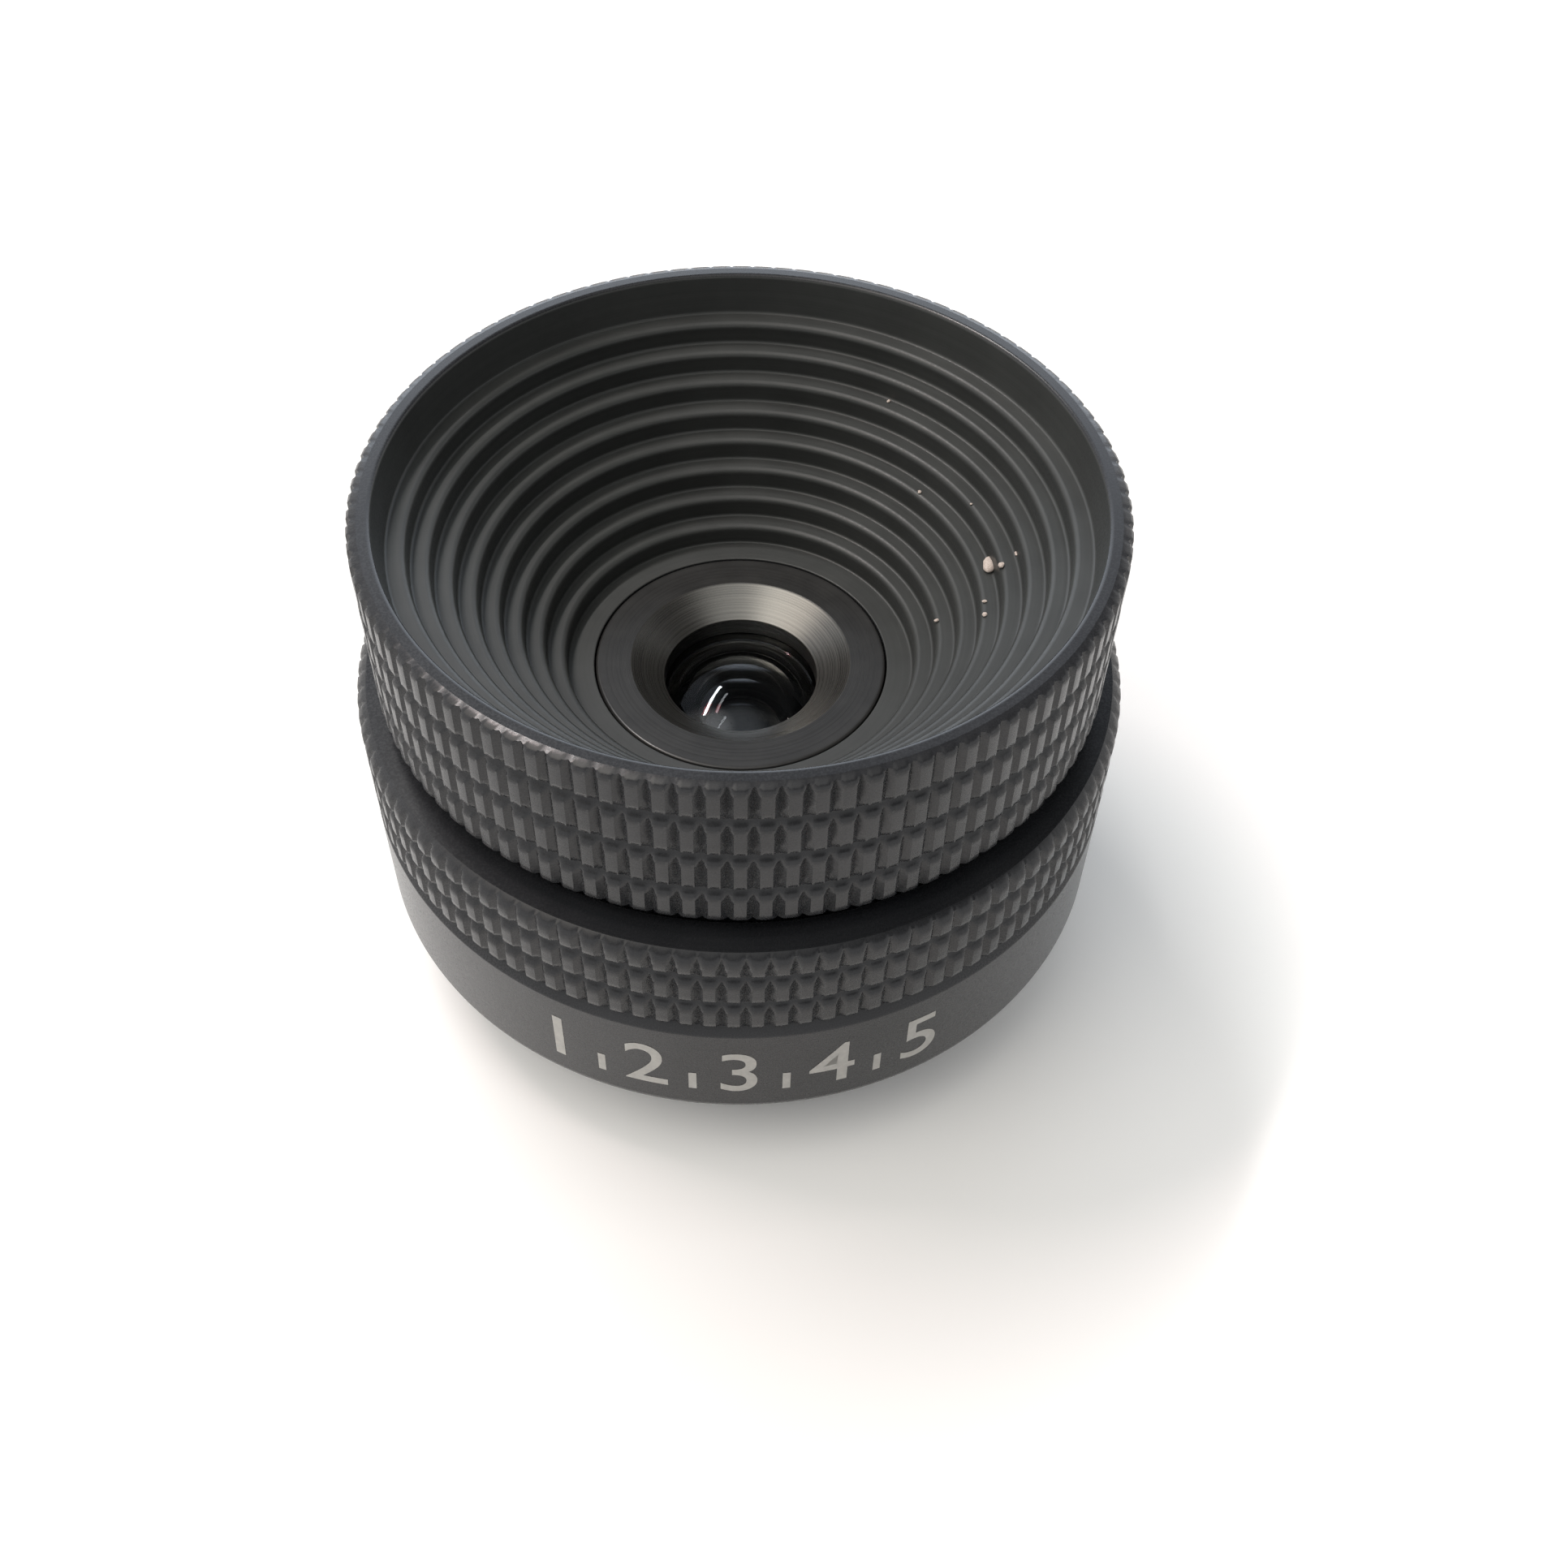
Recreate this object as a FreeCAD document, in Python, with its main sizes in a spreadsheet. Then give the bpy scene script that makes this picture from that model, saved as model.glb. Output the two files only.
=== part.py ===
import FreeCAD, Part
import math
import os
import Sketcher

# A small fixed-focal lens for a security camera, in millimetres.
# The optical axis is Z, the front looks up, and the rear end of the mount thread lies on z = 0.

SIZES = {
    # Mount thread, one inch by 32 turns, and the flange that seats on the camera
    "thread_radius": 12.7,
    "thread_length": 4.0,
    "thread_lead_in": 0.5,
    "thread_wall": 1.5,
    "relief_depth": 0.5,
    "relief_width": 0.7,
    "face_recess_width": 0.2,
    "face_recess_depth": 0.15,
    "flange_thickness": 1.0,
    # Rear barrel
    "rear_wall": 1.74,
    "rear_length": 9.9,
    "rear_edge": 0.35,
    "guide_wall_setback": 1.6,
    "guide_wall": 2.2,
    # Front barrel with the focus ring and the hood
    "skirt_radius": 13.2,
    "skirt_wall": 1.2,
    "skirt_gap": 0.6,
    "neck_drop": 0.2,
    "neck_length": 1.5,
    "focus_gap": 1.0,
    "front_step": 0.88,
    "front_length": 7.03,
    "front_edge": 0.15,
    "rim_width": 0.88,
    "recess_depth": 1.63,
    "recess_taper": 0.28,
    "hood_depth": 8.76,
    "first_lip_radius": 6.84,
    "first_rise": 0.83,
    "hood_wall": 1.97,
    "boss_room": 1.0,
    "boss_wall": 1.2,
    "boss_length": 2.8,
    # Knurls: straight teeth crossed by ring grooves
    "tooth_depth": 0.22,
    "tooth_gap": 0.42,
    "ring_groove_depth": 0.3,
    "ring_groove_width": 0.65,
    "front_groove_start": 1.73,
    "front_groove_pitch": 1.85,
    "rear_groove_start": 1.3,
    "rear_groove_pitch": 1.6,
    # Dust and drag ring in its groove
    "seal_groove_start": 1.75,
    "seal_groove_width": 0.9,
    "seal_side_room": 0.07,
    # Focus limit screw, its tip in a groove of the skirt
    "limit_screw_radius": 0.8,
    "limit_tip_radius": 0.5,
    "limit_tip_reach": 0.35,
    "limit_travel": 0.3,
    "limit_groove_depth": 0.5,
    "limit_end_margin": 0.7,
    "limit_screw_sink": 0.3,
    "limit_slot_width": 0.25,
    "limit_slot_depth": 0.4,
    # Lens cell
    "journal_radius": 5.74,
    "countersink_radius": 4.36,
    "countersink_depth": 0.87,
    "bezel_radius": 3.05,
    "bezel_wall": 0.75,
    "cell_flange_width": 2.1,
    "cell_flange": 1.2,
    "cell_edge": 0.08,
    "cell_tube_wall": 1.4,
    "small_lens_radius": 3.95,
    "large_lens_radius": 4.85,
    "shim": 0.1,
    "shim_room": 0.25,
    "washer": 0.2,
    "washer_room": 0.3,
    "washer_overhang": 0.4,
    "cell_ring": 1.1,
    "cell_ring_room": 1.1,
    "rear_ring": 1.0,
    "rear_ring_wall": 0.75,
    "rear_ring_sink": 0.05,
    "rear_thread_step": 0.15,
    "spanner_slot_width": 0.8,
    "spanner_slot_depth": 0.5,
    # Glass: edge thickness, radius of each face and flat rim round each face
    "front_lens_edge": 1.3,
    "front_lens_front": 6.0,
    "front_lens_back": 4.0,
    "front_lens_back_rim": 1.35,
    "front_spacer": 0.9,
    "second_lens_edge": 1.0,
    "second_lens_front": 5.5,
    "second_lens_front_rim": 1.35,
    "second_lens_back": 12.0,
    "second_lens_back_rim": 1.75,
    "stop": 0.1,
    "stop_hole_radius": 1.45,
    "stop_spacer": 0.7,
    "spacer_wall": 1.1,
    "flint_edge": 2.4,
    "flint_front": 12.0,
    "flint_front_rim": 1.85,
    "cement_radius": 9.5,
    "crown_edge": 0.6,
    "crown_back": 11.0,
    "crown_back_rim": 0.55,
    "rear_air_gap": 0.55,
    "rear_spacer_wall": 0.45,
    "rear_lens_edge": 0.6,
    "rear_lens_front": 12.0,
    "rear_lens_front_rim": 0.65,
    "rear_lens_back": 30.0,
    "rear_lens_back_rim": 0.85,
    # Guide key that keeps the cell from turning
    "key_width": 1.6,
    "key_height": 0.8,
    "key_reach": 0.5,
    "key_screw_radius": 0.6,
    "key_head_radius": 1.0,
    "key_head": 0.5,
    "key_end_wall": 0.6,
    "key_thread_depth": 1.8,
    "screw_end_room": 0.2,
    # Fits and clearances
    "running_clearance": 0.06,
    "end_clearance": 0.05,
    "lens_clearance": 0.05,
    "thread_clearance": 0.03,
    "key_clearance": 0.03,
    "screw_clearance": 0.02,
    "seal_clearance": 0.02,
}
HOOD_STEPS = 8
FRONT_TEETH = 102
REAR_TEETH = 109
FRONT_GROOVE_COUNT = 3
REAR_GROOVE_COUNT = 3
OVERCUT = 0.5


class Size:
    """A length with its number and the expression that gives it."""

    def __init__(self, number, text):
        self.number = number
        self.text = text

    def __add__(self, other):
        return Size(self.number + other.number, f"({self.text} + {other.text})")

    def __sub__(self, other):
        return Size(self.number - other.number, f"({self.text} - {other.text})")

    def __mul__(self, factor):
        return Size(self.number * factor, f"({self.text} * {factor})")

    def __truediv__(self, factor):
        return Size(self.number / factor, f"({self.text} / {factor})")


def cap_height(curve, clear):
    """Height of a spherical face over its clear radius."""
    number = curve.number - math.sqrt(curve.number ** 2 - clear.number ** 2)
    return Size(number, f"({curve.text} - sqrt({curve.text} ^ 2 - {clear.text} ^ 2))")


document = FreeCAD.newDocument("camera_lens")
sheet = document.addObject("Spreadsheet::Sheet", "sizes")
for row, (alias, number) in enumerate(SIZES.items(), start=1):
    sheet.set(f"A{row}", alias)
    sheet.set(f"B{row}", str(number))
    sheet.setAlias(f"B{row}", alias)
document.recompute()

size = {alias: Size(number, f"sizes.{alias}") for alias, number in SIZES.items()}
NONE = Size(0.0, "0")
OVER = Size(OVERCUT, str(OVERCUT))

# Clear radii of the glass

second_front_clear = size["small_lens_radius"] - size["second_lens_front_rim"]
front_back_clear = size["small_lens_radius"] - size["front_lens_back_rim"]
second_back_clear = size["small_lens_radius"] - size["second_lens_back_rim"]
flint_clear = size["large_lens_radius"] - size["flint_front_rim"]
crown_clear = size["large_lens_radius"] - size["crown_back_rim"]
rear_front_clear = size["large_lens_radius"] - size["rear_lens_front_rim"]
rear_back_clear = size["large_lens_radius"] - size["rear_lens_back_rim"]
rear_spacer_height = (cap_height(size["crown_back"], crown_clear) + size["rear_air_gap"]
                      + cap_height(size["rear_lens_front"], rear_front_clear))

# Levels along the optical axis, from the thread end up

flange_level = size["thread_length"]
barrel_floor = flange_level + size["flange_thickness"]
rear_top = flange_level + size["rear_length"]
front_bottom = rear_top + size["focus_gap"]
front_top = front_bottom + size["front_length"]
hood_floor = front_top - size["hood_depth"]
hood_ledge = front_top - size["recess_depth"]
hood_back = hood_floor - size["hood_wall"]
boss_end = hood_back - size["boss_length"]
skirt_end = barrel_floor + size["skirt_gap"]
limit_half_width = size["limit_tip_radius"] + size["limit_travel"]
limit_level = skirt_end + size["limit_end_margin"] + limit_half_width
seal_top = front_bottom - size["seal_groove_start"]
seal_bottom = seal_top - size["seal_groove_width"]
guide_top = size["guide_wall_setback"] + size["guide_wall"]
shim_bottom = hood_back - size["shim"]
cell_flange_top = shim_bottom - size["end_clearance"]
cell_flange_bottom = cell_flange_top - size["cell_flange"]
washer_top = cell_flange_bottom - size["end_clearance"]
washer_bottom = washer_top - size["washer"]
cell_ring_bottom = washer_bottom - size["cell_ring"]
bezel_top = hood_floor - size["countersink_depth"]
front_seat = bezel_top - size["bezel_wall"]
front_lens_end = front_seat - size["front_lens_edge"]
second_lens_start = front_lens_end - size["front_spacer"]
bore_step = second_lens_start - size["second_lens_edge"]
stop_end = bore_step - size["stop"]
flint_start = stop_end - size["stop_spacer"]
cement_level = flint_start - size["flint_edge"]
crown_end = cement_level - size["crown_edge"]
rear_lens_start = crown_end - rear_spacer_height
rear_lens_end = rear_lens_start - size["rear_lens_edge"]
rear_ring_end = rear_lens_end - size["rear_ring"]
cell_end = rear_ring_end - size["rear_ring_sink"]

# Radii

barrel_bore = size["skirt_radius"] + size["running_clearance"]
rear_radius = barrel_bore + size["rear_wall"]
thread_bore = size["thread_radius"] - size["thread_wall"]
front_radius = size["skirt_radius"] + size["front_step"]
skirt_bore = size["skirt_radius"] - size["skirt_wall"]
rim_radius = front_radius - size["rim_width"]
ledge_radius = rim_radius - size["recess_taper"]
cell_bore = size["journal_radius"] + size["running_clearance"]
small_bore = size["small_lens_radius"] + size["lens_clearance"]
large_bore = size["large_lens_radius"] + size["lens_clearance"]
cell_tube = large_bore + size["cell_tube_wall"]
guide_bore = cell_tube + size["running_clearance"]
cell_flange_radius = cell_tube + size["cell_flange_width"]
boss_bore = cell_flange_radius + size["boss_room"]
boss_radius = boss_bore + size["boss_wall"]
seal_radius = size["seal_groove_width"] / 2 - size["seal_side_room"]
seal_floor = size["skirt_radius"] - seal_radius * 2
rear_thread_bore = large_bore + size["rear_thread_step"]
washer_bore = cell_tube + size["washer_room"]
washer_radius = cell_flange_radius + size["washer_overhang"]
shim_bore = size["journal_radius"] + size["shim_room"]
cell_ring_bore = cell_tube + size["cell_ring_room"]
cell_ring_radius = boss_bore - size["thread_clearance"]
rear_ring_radius = rear_thread_bore - size["thread_clearance"]
rear_ring_bore = rear_ring_radius - size["rear_ring_wall"]
front_spacer_bore = front_back_clear + size["lens_clearance"] * 2
stop_spacer_bore = size["large_lens_radius"] - size["spacer_wall"]
rear_spacer_bore = size["large_lens_radius"] - size["rear_spacer_wall"]

# Guide key's place: it lies on the middle of the guide wall, along X

key_screw_place = (guide_bore + thread_bore) / 2
key_start = cell_tube - size["key_reach"]
key_end = key_screw_place + size["key_screw_radius"] + size["key_end_wall"]


def new_body(name):
    """Start one piece of the lens."""
    body = document.addObject("PartDesign::Body", name)
    body.Label = name
    return body


def origin_plane(body, role):
    """Give one of the body's own base planes."""
    return [feature for feature in body.Origin.OriginFeatures if feature.Role == role][0]


def new_sketch(body, name, role, offset=NONE):
    """Put an empty sketch on a base plane, moved along its normal."""
    sketch = body.newObject("Sketcher::SketchObject", name)
    sketch.AttachmentSupport = (origin_plane(body, role), [""])
    sketch.MapMode = "FlatFace"
    sketch.setExpression("AttachmentOffset.Base.z", offset.text)
    return sketch


def pin_point(sketch, edge, across, along):
    """Hold an edge's start point at its two distances from the origin."""
    for kind, distance, axis in (("DistanceX", across, -2), ("DistanceY", along, -1)):
        if distance is NONE:
            sketch.addConstraint(Sketcher.Constraint("PointOnObject", edge, 1, axis))
            continue
        number = sketch.addConstraint(Sketcher.Constraint(kind, -1, 1, edge, 1, distance.number))
        sketch.setExpression(f"Constraints[{number}]", distance.text)


def draw_outline(sketch, points):
    """Draw a closed outline of straight edges through points given as pairs of sizes."""
    first = sketch.GeometryCount
    count = len(points)
    places = [FreeCAD.Vector(across.number, along.number, 0) for across, along in points]
    for index in range(count):
        sketch.addGeometry(Part.LineSegment(places[index], places[(index + 1) % count]), False)
    for index in range(count):
        following = first + (index + 1) % count
        sketch.addConstraint(Sketcher.Constraint("Coincident", first + index, 2, following, 1))
    for index, (across, along) in enumerate(points):
        pin_point(sketch, first + index, across, along)


def revolve(body, sketch, kind="PartDesign::Revolution"):
    """Turn a sketch once round the optical axis, to add or to cut."""
    feature = body.newObject(kind, f"{sketch.Name}_turned")
    feature.Profile = sketch
    feature.ReferenceAxis = (sketch, ["V_Axis"])
    feature.Angle = 360.0
    sketch.Visibility = False
    return feature


def turned_piece(name, points):
    """Make a turned piece from its half section."""
    body = new_body(name)
    sketch = new_sketch(body, f"{name}_section", "XZ_Plane")
    draw_outline(sketch, points)
    revolve(body, sketch)
    return body


def ring_piece(name, inner, outer, bottom, top):
    """Make a plain ring, such as a spacer or a washer."""
    return turned_piece(name, [(inner, bottom), (outer, bottom), (outer, top), (inner, top)])


def cut_box(body, name, length, width, height, corner):
    """Cut a box whose lowest corner is given as three sizes."""
    box = body.newObject("PartDesign::SubtractiveBox", name)
    for label, extent in (("Length", length), ("Width", width), ("Height", height)):
        box.setExpression(label, extent.text)
    for label, distance in zip("xyz", corner):
        box.setExpression(f"AttachmentOffset.Base.{label}", distance.text)
    box.AttachmentSupport = (origin_plane(body, "XY_Plane"), [""])
    box.MapMode = "FlatFace"
    return box


def place_cylinder(body, name, kind, radius, height, plane, place):
    """Add or cut a cylinder that stands on a base plane, at a place given as three sizes."""
    cylinder = body.newObject(f"PartDesign::{kind}", name)
    cylinder.setExpression("Radius", radius.text)
    cylinder.setExpression("Height", height.text)
    cylinder.AttachmentSupport = (origin_plane(body, plane), [""])
    cylinder.MapMode = "FlatFace"
    for label, distance in zip("xyz", place):
        cylinder.setExpression(f"AttachmentOffset.Base.{label}", distance.text)


def cut_spanner_slots(body, radius, bottom):
    """Cut one slot across a threaded ring's rear face."""
    half_width = size["spanner_slot_width"] / 2
    reach = radius + OVER
    corner = (NONE - reach, NONE - half_width, bottom - OVER)
    height = size["spanner_slot_depth"] + OVER
    cut_box(body, f"{body.Name}_slots", reach * 2, size["spanner_slot_width"], height, corner)


def cut_teeth(body, radius, bottom, top, teeth):
    """Cut the straight V gaps between the teeth of a knurl."""
    sketch = new_sketch(body, f"{body.Name}_tooth_gap", "XY_Plane", bottom)
    apex = radius - size["tooth_depth"]
    outside = radius + size["tooth_depth"]
    half_gap = size["tooth_gap"]
    draw_outline(sketch, [(apex, NONE), (outside, half_gap), (outside, NONE - half_gap)])
    pocket = body.newObject("PartDesign::Pocket", f"{body.Name}_one_gap")
    pocket.Profile = sketch
    pocket.setExpression("Length", (top - bottom + OVER).text)
    pocket.Reversed = True
    pattern = body.newObject("PartDesign::PolarPattern", f"{body.Name}_teeth")
    pattern.Originals = [pocket]
    pattern.Axis = (sketch, ["N_Axis"])
    pattern.Angle = 360.0
    pattern.Occurrences = teeth
    body.Tip = pattern


def cut_ring_grooves(body, radius, top, start, pitch, grooves):
    """Cut the V grooves that run round a knurl and part its teeth into rows."""
    sketch = new_sketch(body, f"{body.Name}_ring_grooves", "XZ_Plane")
    floor = radius - size["ring_groove_depth"]
    outside = radius + size["ring_groove_depth"]
    for groove in range(grooves):
        middle = top - start - pitch * groove
        low = middle - size["ring_groove_width"]
        high = middle + size["ring_groove_width"]
        draw_outline(sketch, [(floor, middle), (outside, low), (outside, high)])
    revolve(body, sketch, "PartDesign::Groove")


def lens_arc(sketch, rim, sag_up, radius):
    """Add a spherical face from its rim to the axis and return the edge's number."""
    across, along = rim
    drop = radius.number - math.sqrt(radius.number ** 2 - across.number ** 2)
    height = drop if sag_up else -drop
    centre_height = along.number + height + (-radius.number if sag_up else radius.number)
    start = FreeCAD.Vector(across.number, along.number, 0)
    vertex = FreeCAD.Vector(0, along.number + height, 0)
    angle = math.atan2(start.y - centre_height, start.x)
    circle = Part.Circle(FreeCAD.Vector(0, centre_height, 0), FreeCAD.Vector(0, 0, 1), radius.number)
    turns = (angle, math.pi / 2) if sag_up else (-math.pi / 2, angle)
    edge = sketch.addGeometry(Part.ArcOfCircle(circle, *turns), False)
    rim_end, axis_end = (1, 2) if sag_up else (2, 1)
    sketch.addConstraint(Sketcher.Constraint("PointOnObject", edge, 3, -2))
    sketch.addConstraint(Sketcher.Constraint("PointOnObject", edge, axis_end, -2))
    number = sketch.addConstraint(Sketcher.Constraint("Radius", edge, radius.number))
    sketch.setExpression(f"Constraints[{number}]", radius.text)
    return edge, rim_end, axis_end, vertex


def lens_piece(name, radius, front, back, front_face, back_face):
    """Make a lens; each face is its radius, its clear radius and whether its middle lies higher."""
    body = new_body(name)
    sketch = new_sketch(body, f"{name}_section", "XZ_Plane")
    rims = []
    for level, (curve, clear, higher) in ((front, front_face), (back, back_face)):
        rims.append((lens_arc(sketch, (clear, level), higher, curve), (clear, level)))
    (front_arc, front_rim), (back_arc, back_rim) = rims
    points = [front_rim, (radius, front), (radius, back), back_rim]
    points = [point for index, point in enumerate(points) if index == 0 or point != points[index - 1]]
    places = [FreeCAD.Vector(across.number, along.number, 0) for across, along in points]
    lines = []
    for index in range(len(points) - 1):
        lines.append(sketch.addGeometry(Part.LineSegment(places[index], places[index + 1]), False))
    for index, line in enumerate(lines):
        pin_point(sketch, line, *points[index])
    for line, following in zip(lines, lines[1:]):
        sketch.addConstraint(Sketcher.Constraint("Coincident", line, 2, following, 1))
    sketch.addConstraint(Sketcher.Constraint("Coincident", lines[0], 1, front_arc[0], front_arc[1]))
    sketch.addConstraint(Sketcher.Constraint("Coincident", lines[-1], 2, back_arc[0], back_arc[1]))
    for kind, distance in zip(("DistanceX", "DistanceY"), points[-1]):
        constraint = Sketcher.Constraint(kind, -1, 1, lines[-1], 2, distance.number)
        number = sketch.addConstraint(constraint)
        sketch.setExpression(f"Constraints[{number}]", distance.text)
    axis_line = sketch.addGeometry(Part.LineSegment(back_arc[3], front_arc[3]), False)
    sketch.addConstraint(Sketcher.Constraint("Coincident", axis_line, 1, back_arc[0], back_arc[2]))
    sketch.addConstraint(Sketcher.Constraint("Coincident", axis_line, 2, front_arc[0], front_arc[2]))
    revolve(body, sketch)
    return body


def rear_barrel():
    """Mount thread, flange, number band, knurl and the wall that guides the cell, in one piece."""
    edge = size["rear_edge"]
    relief = size["thread_radius"] - size["relief_depth"]
    relief_start = flange_level - size["relief_width"]
    face_start = size["thread_radius"] + size["face_recess_width"]
    lead_in = size["thread_lead_in"]
    body = turned_piece("rear_barrel", [
        (thread_bore, NONE),
        (size["thread_radius"] - lead_in, NONE),
        (size["thread_radius"], lead_in),
        (size["thread_radius"], relief_start),
        (relief, relief_start),
        (relief, flange_level + size["face_recess_depth"]),
        (face_start, flange_level + size["face_recess_depth"]),
        (face_start, flange_level),
        (rear_radius - edge, flange_level),
        (rear_radius, flange_level + edge),
        (rear_radius, rear_top - edge),
        (rear_radius - edge, rear_top),
        (barrel_bore, rear_top),
        (barrel_bore, barrel_floor),
        (thread_bore, barrel_floor),
        (thread_bore, guide_top),
        (guide_bore, guide_top),
        (guide_bore, size["guide_wall_setback"]),
        (thread_bore, size["guide_wall_setback"]),
    ])
    place_cylinder(body, "limit_screw_hole", "SubtractiveCylinder",
                   size["limit_screw_radius"] + size["screw_clearance"], size["rear_wall"] + OVER * 2,
                   "XZ_Plane", (NONE, limit_level, NONE - rear_radius - OVER))
    place_cylinder(body, "key_screw_hole", "SubtractiveCylinder",
                   size["key_screw_radius"] + size["screw_clearance"], size["key_thread_depth"] + OVER,
                   "XY_Plane", (key_screw_place, NONE, guide_top - size["key_thread_depth"]))
    pitch = size["rear_groove_pitch"]
    last_groove = rear_top - size["rear_groove_start"] - pitch * (REAR_GROOVE_COUNT - 1)
    cut_teeth(body, rear_radius, last_groove, rear_top, REAR_TEETH)
    cut_ring_grooves(body, rear_radius, rear_top, size["rear_groove_start"], pitch, REAR_GROOVE_COUNT)
    return body


def front_barrel():
    """Hood with its stepped light baffle, focus ring and threaded skirt, in one piece."""
    edge = size["front_edge"]
    neck = size["skirt_radius"] - size["neck_drop"]
    limit_floor = size["skirt_radius"] - size["limit_groove_depth"]
    first_lip = hood_floor + size["first_rise"]
    run = (ledge_radius - size["first_lip_radius"]) / HOOD_STEPS
    rise = (hood_ledge - first_lip) / (HOOD_STEPS - 1)
    points = [(cell_bore, hood_back), (cell_bore, hood_floor), (size["first_lip_radius"], hood_floor)]
    for step in range(HOOD_STEPS):
        tread = first_lip + rise * step
        points.append((size["first_lip_radius"] + run * step, tread))
        points.append((size["first_lip_radius"] + run * (step + 1), tread))
    points += [
        (rim_radius, front_top),
        (front_radius - edge, front_top),
        (front_radius, front_top - edge),
        (front_radius, front_bottom + edge),
        (front_radius - edge, front_bottom),
        (neck, front_bottom),
        (neck, front_bottom - size["neck_length"]),
        (size["skirt_radius"], front_bottom - size["neck_length"]),
        (size["skirt_radius"], seal_top),
        (seal_floor, seal_top),
        (seal_floor, seal_bottom),
        (size["skirt_radius"], seal_bottom),
        (size["skirt_radius"], limit_level + limit_half_width),
        (limit_floor, limit_level + limit_half_width),
        (limit_floor, limit_level - limit_half_width),
        (size["skirt_radius"], limit_level - limit_half_width),
        (size["skirt_radius"], skirt_end),
        (skirt_bore, skirt_end),
        (skirt_bore, hood_back),
        (boss_radius, hood_back),
        (boss_radius, boss_end),
        (boss_bore, boss_end),
        (boss_bore, hood_back),
    ]
    body = turned_piece("front_barrel", points)
    cut_teeth(body, front_radius, front_bottom - OVER, front_top, FRONT_TEETH)
    pitch = size["front_groove_pitch"]
    cut_ring_grooves(body, front_radius, front_top, size["front_groove_start"], pitch, FRONT_GROOVE_COUNT)
    return body


def lens_cell():
    """Tube that holds the glass, with its countersunk front face and its flange."""
    edge = size["cell_edge"]
    body = turned_piece("lens_cell", [
        (size["countersink_radius"], hood_floor),
        (size["journal_radius"] - edge, hood_floor),
        (size["journal_radius"], hood_floor - edge),
        (size["journal_radius"], cell_flange_top),
        (cell_flange_radius, cell_flange_top),
        (cell_flange_radius, cell_flange_bottom),
        (cell_tube, cell_flange_bottom),
        (cell_tube, cell_end),
        (rear_thread_bore, cell_end),
        (rear_thread_bore, rear_lens_end),
        (large_bore, rear_lens_end),
        (large_bore, bore_step),
        (small_bore, bore_step),
        (small_bore, front_seat),
        (size["bezel_radius"], front_seat),
        (size["bezel_radius"], bezel_top),
    ])
    keyway_floor = cell_tube - size["key_reach"] - size["key_clearance"]
    play = size["limit_travel"] + size["end_clearance"]
    width = size["key_width"] + size["key_clearance"] * 2
    corner = (keyway_floor, NONE - width / 2, guide_top - play)
    cut_box(body, "keyway", OVER * 4, width, size["key_height"] + play * 2, corner)
    return body


def aperture_stop():
    """Thin disc whose hole sets the f-number."""
    hole = size["stop_hole_radius"]
    return ring_piece("aperture_stop", hole, size["large_lens_radius"], stop_end, bore_step)


def threaded_ring(name, inner, outer, bottom, top):
    """Retaining ring with two spanner slots."""
    body = ring_piece(name, inner, outer, bottom, top)
    cut_spanner_slots(body, outer, bottom)
    return body


def limit_screw():
    """Slotted grub screw whose plain tip runs in the skirt's groove."""
    screw = size["limit_screw_radius"]
    outer_end = rear_radius - size["limit_screw_sink"]
    shoulder = barrel_bore + size["running_clearance"]
    tip_end = size["skirt_radius"] - size["limit_tip_reach"]
    body = new_body("limit_screw")
    sketch = new_sketch(body, "limit_screw_section", "XY_Plane", limit_level)
    draw_outline(sketch, [
        (NONE, tip_end),
        (size["limit_tip_radius"], tip_end),
        (size["limit_tip_radius"], shoulder),
        (screw, shoulder),
        (screw, outer_end),
        (NONE, outer_end),
    ])
    revolve(body, sketch)
    slot = size["limit_slot_width"]
    corner = (NONE - screw - OVER, outer_end - size["limit_slot_depth"], limit_level - slot / 2)
    cut_box(body, "limit_screw_slot", (screw + OVER) * 2, size["limit_slot_depth"] + OVER, slot, corner)
    return body


def guide_key():
    """Flat key on the guide wall, its inner end in the cell's keyway."""
    body = new_body("guide_key")
    half_width = size["key_width"] / 2
    sketch = new_sketch(body, "guide_key_outline", "XY_Plane", guide_top)
    draw_outline(sketch, [
        (key_start, NONE - half_width),
        (key_end, NONE - half_width),
        (key_end, half_width),
        (key_start, half_width),
    ])
    pad = body.newObject("PartDesign::Pad", "guide_key_plate")
    pad.Profile = sketch
    pad.setExpression("Length", size["key_height"].text)
    place_cylinder(body, "guide_key_hole", "SubtractiveCylinder",
                   size["key_screw_radius"] + size["screw_clearance"], size["key_height"] + OVER,
                   "XY_Plane", (key_screw_place, NONE, guide_top))
    return body


def key_screw():
    """Cheese-head screw that holds the guide key."""
    body = new_body("key_screw")
    key_top = guide_top + size["key_height"]
    place_cylinder(body, "key_screw_head", "AdditiveCylinder", size["key_head_radius"], size["key_head"],
                   "XY_Plane", (key_screw_place, NONE, key_top))
    shank_end = guide_top - size["key_thread_depth"] + size["screw_end_room"]
    place_cylinder(body, "key_screw_shank", "AdditiveCylinder", size["key_screw_radius"],
                   key_top - shank_end, "XY_Plane", (key_screw_place, NONE, shank_end))
    slot = size["limit_slot_width"]
    reach = size["key_head_radius"] + OVER
    head_top = key_top + size["key_head"]
    slot_floor = head_top - size["key_head"] / 2
    corner = (key_screw_place - reach, NONE - slot / 2, slot_floor)
    cut_box(body, "key_screw_slot", reach * 2, slot, size["key_head"], corner)
    return body


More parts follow.
